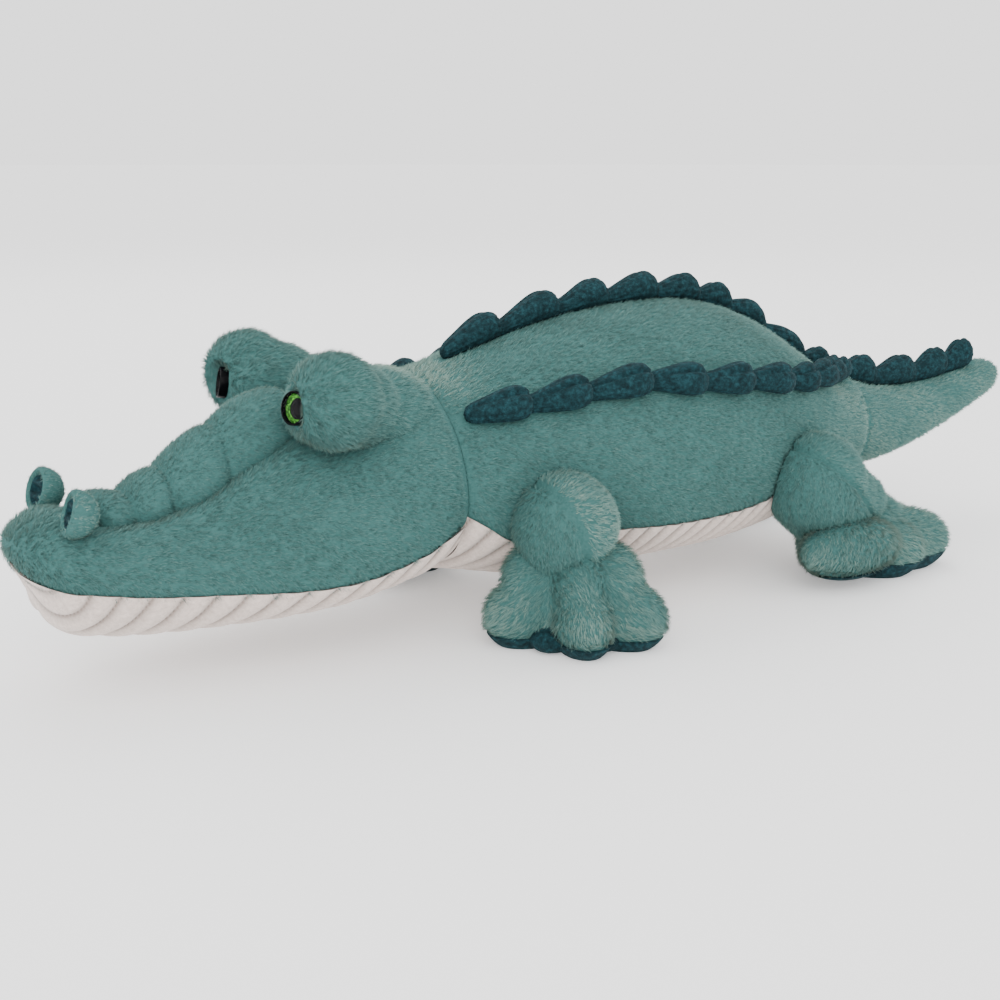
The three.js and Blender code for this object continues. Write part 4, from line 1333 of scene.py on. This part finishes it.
class CROC_OT_panels(CrocodileOperator, bpy.types.Operator):
    """Sews the corduroy chin and belly, with wales that slant up and back on both sides"""

    bl_idname = "crocodile.panels"
    bl_label = "Corduroy chin and belly"

    # Powers that bend the wales up the sides, and round their tops
    BEND, FULLNESS = 0.75, 0.7
    # A panel's columns inside, and the width of one outside
    INNER_COLUMNS, COLUMN_WIDTH = 8, 1.4 * MM

    def execute(self, context):
        sizes = context.scene.crocodile_sizes
        first = self.where_it_opens(head_form, chin_border, head_form.start + 1 * MM)
        self.sew("chin_corduroy", head_form, (first, None), sizes)
        middle, lap = body_form.start + body_form.length * 0.5, 2 * MM
        end = TAIL_ROOT[0] + TAIL_COLLAR + 8 * MM
        bend_with(self.sew("belly_front_corduroy", body_form, (None, middle + lap), sizes), "head")
        bend_with(self.sew("belly_rear_corduroy", body_form, (middle - lap, end), sizes), "tail")
        return {"FINISHED"}

    def sew(self, name, form, ends, sizes):
        """Makes a panel, fine outside and coarse inside. An end that is None is the neck's seam."""
        start, end = ends
        if form is head_form:
            border, spacing, body, node = chin_border, sizes.chin_wale, "head", "chin_panel"
            radius, dip_reach = NECK_BALL + 0.3 * MM, 14 * MM
        else:
            border, spacing, body, node = belly_border, sizes.belly_wale, None, "belly_panel"
            radius, dip_reach = NECK_BALL - 0.6 * MM, 9 * MM
        first = form.start if start is None else start
        last = form.start + form.length if end is None else end
        dip = neck_dip(sizes.seam_dip * 0.6, dip_reach)
        inner, outer = self.INNER_COLUMNS, int(form.half_width * 2.2 / self.COLUMN_WIDTH)
        sink = -sizes.panel_sink
        wales = []

        def place(along, round_share):
            column = round_share * (inner + outer)
            outside = column <= outer
            across = np.where(outside, column / outer, 1 - (column - outer) / inner) * 2 - 1
            x = first + along * (last - first)
            angle = self.angle_under(form, border, x, across, sink)
            seam = crossing(form, angle, NECK, radius, NECK[0] - 85 * MM, NECK[0], sink)
            front, rear = seam if start is None else first, seam if end is None else last
            x = front + along * (rear - front)
            angle = self.angle_under(form, border, x, across, sink)
            phase = (x - sizes.wale_slant * np.abs(across) ** self.BEND) / spacing
            wale = np.where(outside, np.abs(np.sin(np.pi * phase)) ** self.FULLNESS, 0.0)
            wales.append(wale)
            thin = np.clip(np.minimum(along, 1 - along) * 60, 0, 1) * (1 - np.abs(across) ** 12)
            surface = form.point(x, angle, sink)
            near_tip = np.clip((x - form.start) / (22 * MM), 0.3, 1)
            depth = sizes.wale_depth * (1 - 0.7 * np.abs(across) ** 10) * near_tip
            grow = sink - (1 - wale) * depth - dip(surface)
            grow = grow - np.where(outside, 0, sizes.panel_thickness) * thin
            sunk = form.point(x, angle, sink - 1 * MM)
            places = surface + (surface - sunk) * ((grow - sink) / (1 * MM))[:, None]
            return set_back(places) if form is head_form else places

        rows = int((last - first) / (1.0 * MM))
        mesh = wrapped_skin(place, rows, inner + outer, wales)
        return new_piece(name, mesh, "corduroy", body, "corduroy", node)

    def where_it_opens(self, form, border, start):
        """The first x at which the form's underside lies below the border."""
        x = np.linspace(start, start + 30 * MM, 301)
        _, widest, _, down = form.section(x)
        return float(x[np.argmax(widest - down < border(x) - 1 * MM)])

    def angle_under(self, form, border, x, across, grow):
        """The angle on a form for a share across its panel, from border to border."""
        _, widest, up, down = form.section(x, grow)
        line = border(x) + 0.3 * MM
        below = np.clip((widest - line) / np.maximum(down, 1e-5), 0, 1) ** (1 / UNDERSIDE_FULLNESS)
        above = np.clip((line - widest) / np.maximum(up, 1e-5), 0, 1)
        return -np.pi / 2 + across * (np.pi / 2 - np.arcsin(below) + np.arcsin(above))


class CROC_OT_ridges(CrocodileOperator, bpy.types.Operator):
    """Gathers the velour ridges into puffs, with a stitch at each gather"""

    bl_idname = "crocodile.ridges"
    bl_label = "Velour ridges"

    # How full a ridge is where it is gathered and at a puff's fullest, and how deep it sits
    GATHER, FULLEST = 0.5, 1.02
    SEAT = 2.4 * MM
    # The seam between a puff's two lobes: its angle up from the side, and its width, in radians
    SEAM_AT, SEAM_WIDTH = 0.44 * np.pi, 0.17
    # Rows of the skin along a puff, and columns round it
    ROWS, COLUMNS = 16, 48

    def execute(self, context):
        sizes = context.scene.crocodile_sizes
        for name, form, rows, side in RIDGES:
            on_tail = form is tail_form
            height = sizes.tail_ridge_half_height if on_tail else sizes.ridge_half_height
            body = "tail" if on_tail else None
            puffs = self.puffs(form, rows, height, side, sizes)
            skin = wrapped_skin(puffs, (len(rows) - 1) * self.ROWS, self.COLUMNS)
            knots = self.knots(form, rows, height, side, sizes)
            pieces = (
                new_piece(f"{name}_puffs", skin, "velour", body, "velour", name),
                new_piece(f"{name}_stitches", knots, "thread", body, "velour"),
            )
            if not on_tail:
                for piece in pieces:
                    bend_with(piece, "head")
        return {"FINISHED"}

    def puffs(self, form, rows, height, side, sizes):
        """The skin of a ridge: teardrop puffs, thin in front, split by a seam into two lobes."""

        def place(along, round_share):
            puffs = len(rows) - 1
            steps = puffs * self.ROWS + 1
            line, outs = ridge_line(form, rows, steps)
            forward = unit(np.gradient(line, axis=0))
            across = unit(np.cross(outs, forward))
            ring = np.rint(along * (steps - 1)).astype(int)
            within = (along * puffs) % 1.0
            angle = round_share * 2 * np.pi
            swell = np.sin(np.pi * within**2.1) ** 0.6
            opened = rounded_end(np.minimum(along, 1 - along) * puffs, 0.16)
            from_seam = (angle - self.SEAM_AT) / self.SEAM_WIDTH
            groove = np.exp(-(from_seam**2)) * (0.1 + 0.2 * swell)
            folds = 0.07 * np.cos(13 * angle + 5 * np.floor(along * puffs)) * (1 - 0.75 * swell)
            full = self.GATHER + (self.FULLEST - self.GATHER) * swell
            radius = full * opened * (1 - groove + folds)
            aside = sizes.ridge_half_width * radius * np.cos(angle)
            rise = height * (full + radius * np.sin(angle)) - self.SEAT
            places = line[ring] + across[ring] * aside[:, None] + outs[ring] * rise[:, None]
            return mirrored(form.pushed_out(places, -2.6 * MM), side)

        return place

    def knots(self, form, rows, height, side, sizes):
        """Small knots of pale thread where a ridge is gathered."""
        line, outs = ridge_line(form, rows, len(rows))
        bm = bmesh.new()
        for place, out in zip(line[1:-1], outs[1:-1]):
            knot = mirrored(place + out * (height * 2 * self.GATHER - self.SEAT), side)
            bmesh.ops.create_icosphere(
                bm, subdivisions=1, radius=sizes.thread_radius, matrix=Matrix.Translation(knot)
            )
        return mesh_from(bm)


class CROC_OT_strip(CrocodileOperator, bpy.types.Operator):
    """Gathers the plush strip along the snout into four puffs"""

    bl_idname = "crocodile.strip"
    bl_label = "Snout strip"

    def execute(self, context):
        depth = context.scene.crocodile_sizes.pile_depth - 0.6 * MM
        ends = (
            (at_x(strip_form.start + depth), flat_cap),
            (at_x(strip_form.start + strip_form.length - depth), flat_cap),
        )
        mesh = wrapped_skin(skin_between(strip_form, -depth, ends), 150, 48)
        skin = new_backing("snout_strip_backing", mesh, "head", "snout_strip")
        keep = out_of_form(head_form, -1.5 * MM)
        grow_pile("snout_strip_pile", [skin], "head", backward, keep, 30, 0.75)
        return {"FINISHED"}


class CROC_OT_mounds(CrocodileOperator, bpy.types.Operator):
    """Stuffs the mounds round the eyes, hollowed where each eye sits"""

    bl_idname = "crocodile.mounds"
    bl_label = "Eye mounds"

    def execute(self, context):
        depth = context.scene.crocodile_sizes.pile_depth - 0.4 * MM
        for side, name in SIDES:
            mesh = mesh_from(joined_balls(mound_balls(side, depth), 1.5 * MM, smoothing=10))
            eye = eye_matrix(side)
            set_coordinates(mesh, self.hollowed(coordinates(mesh), eye))
            skin = new_backing(f"{name}_mound_backing", mesh, "head", f"{name}_eye_mound")
            keep = all_of(
                out_of_form(head_form, -1.5 * MM), out_of_form(strip_form, -1.5 * MM),
                out_of_opening(eye, 7.6 * MM, 8 * MM),
            )
            grow_pile(
                f"{name}_mound_pile", [skin], "head", self.away_from(eye), keep, 40 + side, 1.15,
                brushed=brushed_up,
            )
        return {"FINISHED"}

    def hollowed(self, places, eye):
        """The mound pressed in where the eye's cup sits."""
        height, apart, axis = from_axis(places, eye)
        edge = np.clip((10.5 * MM - apart) / (3.0 * MM), 0, 1)
        sink = np.maximum(height + 3.2 * MM, 0) * edge
        return places - axis * sink[:, None]

    def away_from(self, eye):
        """A comb that lays the plush away from the eye, then back over the mound."""

        def comb(places):
            axis = from_axis(places, eye)[2]
            reach = unit(places - np.array(eye.translation))
            return reach + backward(places) * 0.6 - axis * 0.6

        return comb


class CROC_OT_eyes(CrocodileOperator, bpy.types.Operator):
    """Turns the plastic eyes: cup with its shank, glitter ring, pupil and clear dome"""

    bl_idname = "crocodile.eyes"
    bl_label = "Eyes"

    def execute(self, context):
        # Profiles of radius and height in millimetres, from the cup's rim down to its shank's end
        radius = context.scene.crocodile_sizes.eye_radius / MM
        rim, shank, shank_end, back, floor = radius + 1.0, 2, -16.7, -3.7, -2.1
        cup = [
            (0, shank_end), (shank - 0.4, shank_end), (shank, shank_end + 0.5), (shank, back),
            (rim - 0.8, back), *arc(rim - 0.8, back + 0.8, 0.8, 0.8, -90, 0, 4),
            *arc(rim - 0.4, -0.1, 0.4, 0.4, 0, 180, 6), (radius + 0.2, floor), (0, floor),
        ]
        iris = [(0, -1.9), (radius, -1.9), (radius, -1.45), (0, -1.45)]
        pupil = [(0, -1.4), (4.1, -1.4), (4.2, -1.25), (3.9, -1.08), (1.9, -0.95), (0, -0.9)]
        dome = [
            (0, -0.5), (2.5, -0.62), (4, -0.8), (radius, -0.95), *arc(0, 0, radius, 4, 0, 90, 14),
        ]
        pupil_aside = 1.3 * MM
        parts = (
            ("eye_cup", cup, "eye_black", "black_plastic", 0),
            ("eye_iris", iris, "green_glitter", "green_glitter", 0),
            ("eye_pupil", pupil, "eye_black", "black_plastic", pupil_aside),
            ("eye_lens", dome, "clear_dome", "clear_plastic", 0),
        )
        for side, name in SIDES:
            for part, profile, material, slot, aside in parts:
                mesh = spun(profile, eye_matrix(side) @ Matrix.Translation((-side * aside, 0, 0)))
                new_piece(f"{name}_turned_{part}", mesh, material, "head", slot, f"{name}_{part}")
            for slot in frame["nodes"][f"{name}_eye_washer"].material_slots:
                slot.material = material_named("washer_plastic")
        return {"FINISHED"}


class CROC_OT_nostrils(CrocodileOperator, bpy.types.Operator):
    """Curls the nostrils: a rolled plush rim round a folded velour lining"""

    bl_idname = "crocodile.nostrils"
    bl_label = "Nostrils"

    def execute(self, context):
        # Profiles of radius and height in millimetres, from the opening
        rim = [
            *arc(0, 0, 9.2, 9, -90, 0, 10), *arc(7.7, 0, 1.5, 2.4, 0, 180, 10),
            (6.2, -4.9), (0, -5.2),
        ]
        lining = [
            (0, -4.4), (5.6, -4.2), (6.0, 0.2), *arc(5.6, 0.4, 0.4, 1.2, 0, 90, 4),
            (4.8, 1.5), (4, 1.4), (3.2, 1.3), (2.4, 1.2), (1.6, 1.1), (0.8, 1.1), (0, 1.1),
        ]
        for side, name in SIDES:
            nostril, matrix = f"{name}_nostril", nostril_matrix(side)
            skin = new_backing(
                f"{nostril}_backing", spun(rim, matrix, 48), "head", nostril
            )
            fold = spun(lining, matrix, 48, self.folded)
            new_piece(f"{nostril}_velour", fold, "velour", "head", "velour", f"{nostril}_lining")
            keep = all_of(
                out_of_opening(matrix, 6.9 * MM, 5.6 * MM), out_of_form(head_form, -1.5 * MM)
            )
            grow_pile(
                f"{nostril}_pile", [skin], "head", backward, keep, 50 + side, 0.55,
                brushed=lambda places: np.full(len(places), 0.18),
            )
        return {"FINISHED"}

    def folded(self, places):
        """The lining's floor as two lobes side by side, with a deep crease between them."""
        lobe = np.exp(-((np.abs(places[:, 1]) / MM - 2.8) / 1.5) ** 2)
        inside = (places[:, 2] > -3 * MM) & (np.hypot(places[:, 0], places[:, 1]) < 5.2 * MM)
        places[:, 2] += np.where(inside, (lobe - 0.75) * 2.8 * MM, 0)
        return places


class CROC_OT_legs(CrocodileOperator, bpy.types.Operator):
    """Stuffs the legs and feet, with three toes and a velour sole each"""

    bl_idname = "crocodile.legs"
    bl_label = "Legs and feet"

    def execute(self, context):
        for i, leg in enumerate(LEGS):
            for side, side_name in SIDES:
                seed = 60 + i * 2 + side
                self.stuff(leg, f"{leg}_{side_name}", side, seed, context.scene.crocodile_sizes)
        return {"FINISHED"}

    def stuff(self, leg, name, side, seed, sizes):
        """Makes one leg with its foot, its sole, its webs and its pile."""
        spec, hip = LEGS[leg], JOINTS[f"{name}_swing"]
        depth, sole_height = sizes.pile_depth - 0.2 * MM, spec["sole"] * MM
        upper, foot = leg_balls(leg, side, depth)
        instep = np.array(foot[0][0])

        def behind(places):
            """How far places lie behind the leg's seam line, in millimetres."""
            (x0, z0), (x1, z1) = spec["seam"]
            down = ((hip[2] - places[:, 2]) / MM + z0) / (z0 - z1)
            return (places[:, 0] - hip[0]) / MM - (x0 + (x1 - x0) * down)

        def leg_comb(places):
            share = np.clip(behind(places) / 2 + 0.5, 0, 1)[:, None]
            return downward(places) * (1 - share) + np.array((1.0, 0, -0.35)) * share

        def foot_comb(places):
            low = np.clip((14 * MM - places[:, 2]) / (8 * MM), 0, 1)
            down = np.zeros(places.shape)
            down[:, 2] = -0.5 + 0.9 * low
            return unit(places - instep) + down

        # Painted sheen: the plush behind the seam is painted paler, where its pile lies another way
        # to the light
        def behind_seam(places):
            return spec["brushed"] * np.clip(behind(places) / 2, 0, 1)

        def toe_tips(places):
            reach = np.linalg.norm((places - instep)[:, :2], axis=1) / MM
            return 0.1 + np.clip((reach - 12) / 20, 0, 1) * 0.16

        leg_mesh = self.seated(upper, sizes, lambda places: self.creased(places, behind))
        leg_skin = new_backing(f"{name}_leg_backing", leg_mesh, name, f"{name}_leg")
        foot_mesh = self.seated(foot, sizes)
        self.lift_to(foot_mesh, sole_height * 0.55)
        foot_skin = new_backing(f"{name}_foot_backing", foot_mesh, name, f"{name}_foot")
        self.sole(name, leg_balls(leg, side, 0.4 * MM)[1], sole_height, sizes)
        inner_upper, inner_foot = leg_balls(leg, side, depth + 1 * MM)
        bare = all_of(
            out_of_form(body_form, 0.4 * MM),
            lambda places: places[:, 2] > sole_height + 0.8 * MM,
            *(out_of_ball(ball) for ball in (*inner_upper, inner_foot[0])),
        )
        grow_pile(
            f"{name}_leg_pile", [leg_skin], name, leg_comb,
            all_of(bare, lambda places: np.abs(behind(places)) > 0.6), seed, brushed=behind_seam,
        )
        grow_pile(
            f"{name}_foot_pile", [foot_skin], name, foot_comb, bare, seed + 10, 1.25, 52,
            brushed=toe_tips,
        )
        self.webs(spec, hip, name, side, sizes)

    def seated(self, balls, sizes, shape=None):
        """A mesh of joined balls, shaped and then pressed out by the body."""
        mesh = mesh_from(joined_balls(balls, sizes.voxel))
        places = coordinates(mesh)
        places = shape(places) if shape else places
        set_coordinates(mesh, body_form.pushed_out(places, -0.4 * MM))
        return mesh

    def creased(self, places, behind):
        """The leg drawn in along its seam line."""
        middle = places.mean(axis=0)
        depth = 2.2 * MM * np.exp(-((behind(places) / 1.8) ** 2))
        return places - unit(places - middle) * depth[:, None]

    def lift_to(self, mesh, height):
        """Flattens a mesh's underside at a height."""
        places = coordinates(mesh)
        places[:, 2] = np.maximum(places[:, 2], height)
        set_coordinates(mesh, places)

    def webs(self, spec, hip, name, side, sizes):
        """Dark velour between the toes, drawn in from their tips."""
        foot_x, foot_y = spec["foot_at"]
        long_half, wide, _ = spec["toe"]
        half = [long_half * 0.8 * MM, wide * 0.8 * MM, 7 * MM]
        balls = []
        for (first, near, _), (second, far, _) in zip(spec["toes"], spec["toes"][1:]):
            turn = math.radians((first + second) / 2)
            out = spec["toe_reach"] * (near + far) / 2 - 8
            offset = np.array((foot_x - out * math.cos(turn), foot_y - out * math.sin(turn), 5))
            centre = np.array((hip[0], hip[1], 0)) + offset * MM * (1, -side, 1)
            balls.append((Vector(centre), half, -side * turn))
        mesh = mesh_from(joined_balls(balls, sizes.voxel))
        self.lift_to(mesh, 0.6 * MM)
        new_piece(f"{name}_velour_webs", mesh, "velour", name, "velour")

    def sole(self, name, balls, height, sizes):
        """The sole: the lowest slice of the foot, flat underneath."""
        bm = joined_balls(balls, sizes.voxel, smoothing=1)
        for z, up in ((0, -1), (height, 1)):
            geometry = bm.verts[:] + bm.edges[:] + bm.faces[:]
            cut = bmesh.ops.bisect_plane(
                bm, geom=geometry, plane_co=(0, 0, z), plane_no=(0, 0, up), clear_outer=True
            )
            rim = [item for item in cut["geom_cut"] if isinstance(item, bmesh.types.BMEdge)]
            bmesh.ops.triangle_fill(bm, use_beauty=True, edges=rim)
        mesh = mesh_from(bm)
        new_piece(f"{name}_velour_sole", mesh, "velour", name, "velour", f"{name}_sole")


class CROC_OT_stage(CrocodileOperator, bpy.types.Operator):
    """Sets the floor, the soft lights and the camera"""

    bl_idname = "crocodile.stage"
    bl_label = "Stage"

    # Name, place, size and power of each light
    LIGHTS = (("key", (-1.1, -1.5, 1.1), 1.5, 26), ("back", (0.3, 1.2, 1.6), 1.4, 12))
    LIT_AT = Vector((0, 0, 0.06))
    WORLD_STRENGTH = 1.9

    CAMERA_AT = (-0.3966, -0.5079, 0.2019)
    CAMERA_TURN, CAMERA_RISE = math.radians(-33.3), math.radians(13.5)
    SENSOR, LENS, SHIFT = 36, 48.97, -0.0185

    def execute(self, context):
        bm = bmesh.new()
        bmesh.ops.create_circle(bm, cap_ends=True, segments=96, radius=30)
        mesh = bpy.data.meshes.new("floor")
        bm.to_mesh(mesh)
        bm.free()
        mesh.materials.append(material_named("studio_floor"))
        self.placed(context, "floor", mesh)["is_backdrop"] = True
        for name, place, size, power in self.LIGHTS:
            lamp = bpy.data.lights.new(name, "AREA")
            lamp.shape, lamp.size, lamp.energy = "SQUARE", size, power
            self.placed(context, name, lamp, place, Vector(place) - self.LIT_AT)
        world = context.scene.world or bpy.data.worlds.new("studio")
        context.scene.world = world
        world.use_nodes = True
        background = world.node_tree.nodes["Background"].inputs
        background["Color"].default_value = (1, 1, 1, 1)
        background["Strength"].default_value = self.WORLD_STRENGTH
        lens = bpy.data.cameras.new("camera")
        lens.sensor_width, lens.lens, lens.shift_y = self.SENSOR, self.LENS, self.SHIFT
        lens.clip_start, lens.clip_end = 0.01, 100
        sin, cos = math.sin(self.CAMERA_TURN), math.cos(self.CAMERA_TURN)
        level = math.cos(self.CAMERA_RISE)
        back = Vector((sin * level, -cos * level, math.sin(self.CAMERA_RISE)))
        context.scene.camera = self.placed(context, "camera", lens, self.CAMERA_AT, back)
        return {"FINISHED"}

    def placed(self, context, name, data, place=(0, 0, 0), back=None):
        """Puts an object in the scene, its back towards a heading if there is one."""
        carrier = bpy.data.objects.new(name, data)
        carrier.location = place
        if back:
            carrier.rotation_euler = back.to_track_quat("Z", "Y").to_euler()
        context.scene.collection.objects.link(carrier)
        return carrier


OPERATORS = (
    CROC_OT_body, CROC_OT_head, CROC_OT_tail, CROC_OT_panels, CROC_OT_ridges, CROC_OT_strip,
    CROC_OT_mounds, CROC_OT_eyes, CROC_OT_nostrils, CROC_OT_legs, CROC_OT_stage,
)


class CROC_PT_panel(bpy.types.Panel):
    """Lists the crocodile's pieces, with its sizes and colours"""

    bl_idname = "CROC_PT_panel"
    bl_label = "Plush crocodile"
    bl_space_type = "VIEW_3D"
    bl_region_type = "UI"
    bl_category = "Crocodile"

    def draw(self, context):
        for operator in OPERATORS:
            self.layout.operator(operator.bl_idname)
        for group in (context.scene.crocodile_sizes, context.scene.crocodile_colours):
            box = self.layout.box()
            for name in group.bl_rna.properties.keys():
                if name not in ("rna_type", "name"):
                    box.prop(group, name)


CLASSES = (CrocodileSizes, CrocodileColours, *OPERATORS, CROC_PT_panel)


def register():
    for kind in CLASSES:
        bpy.utils.register_class(kind)
    bpy.types.Scene.crocodile_sizes = bpy.props.PointerProperty(type=CrocodileSizes)
    bpy.types.Scene.crocodile_colours = bpy.props.PointerProperty(type=CrocodileColours)


def unregister():
    del bpy.types.Scene.crocodile_colours
    del bpy.types.Scene.crocodile_sizes
    for kind in reversed(CLASSES):
        bpy.utils.unregister_class(kind)


def corners(box):
    """The two corners of a box as plain lists."""
    return [[round(float(value), 6) for value in corner] for corner in box]


def main():
    """Makes every piece in order."""
    register()
    for operator in OPERATORS:
        family, name = operator.bl_idname.split(".")
        getattr(getattr(bpy.ops, family), name)()
    {"cad": corners(CAD_BOX), "visual": corners(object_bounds())}


if __name__ == "__main__":
    main()
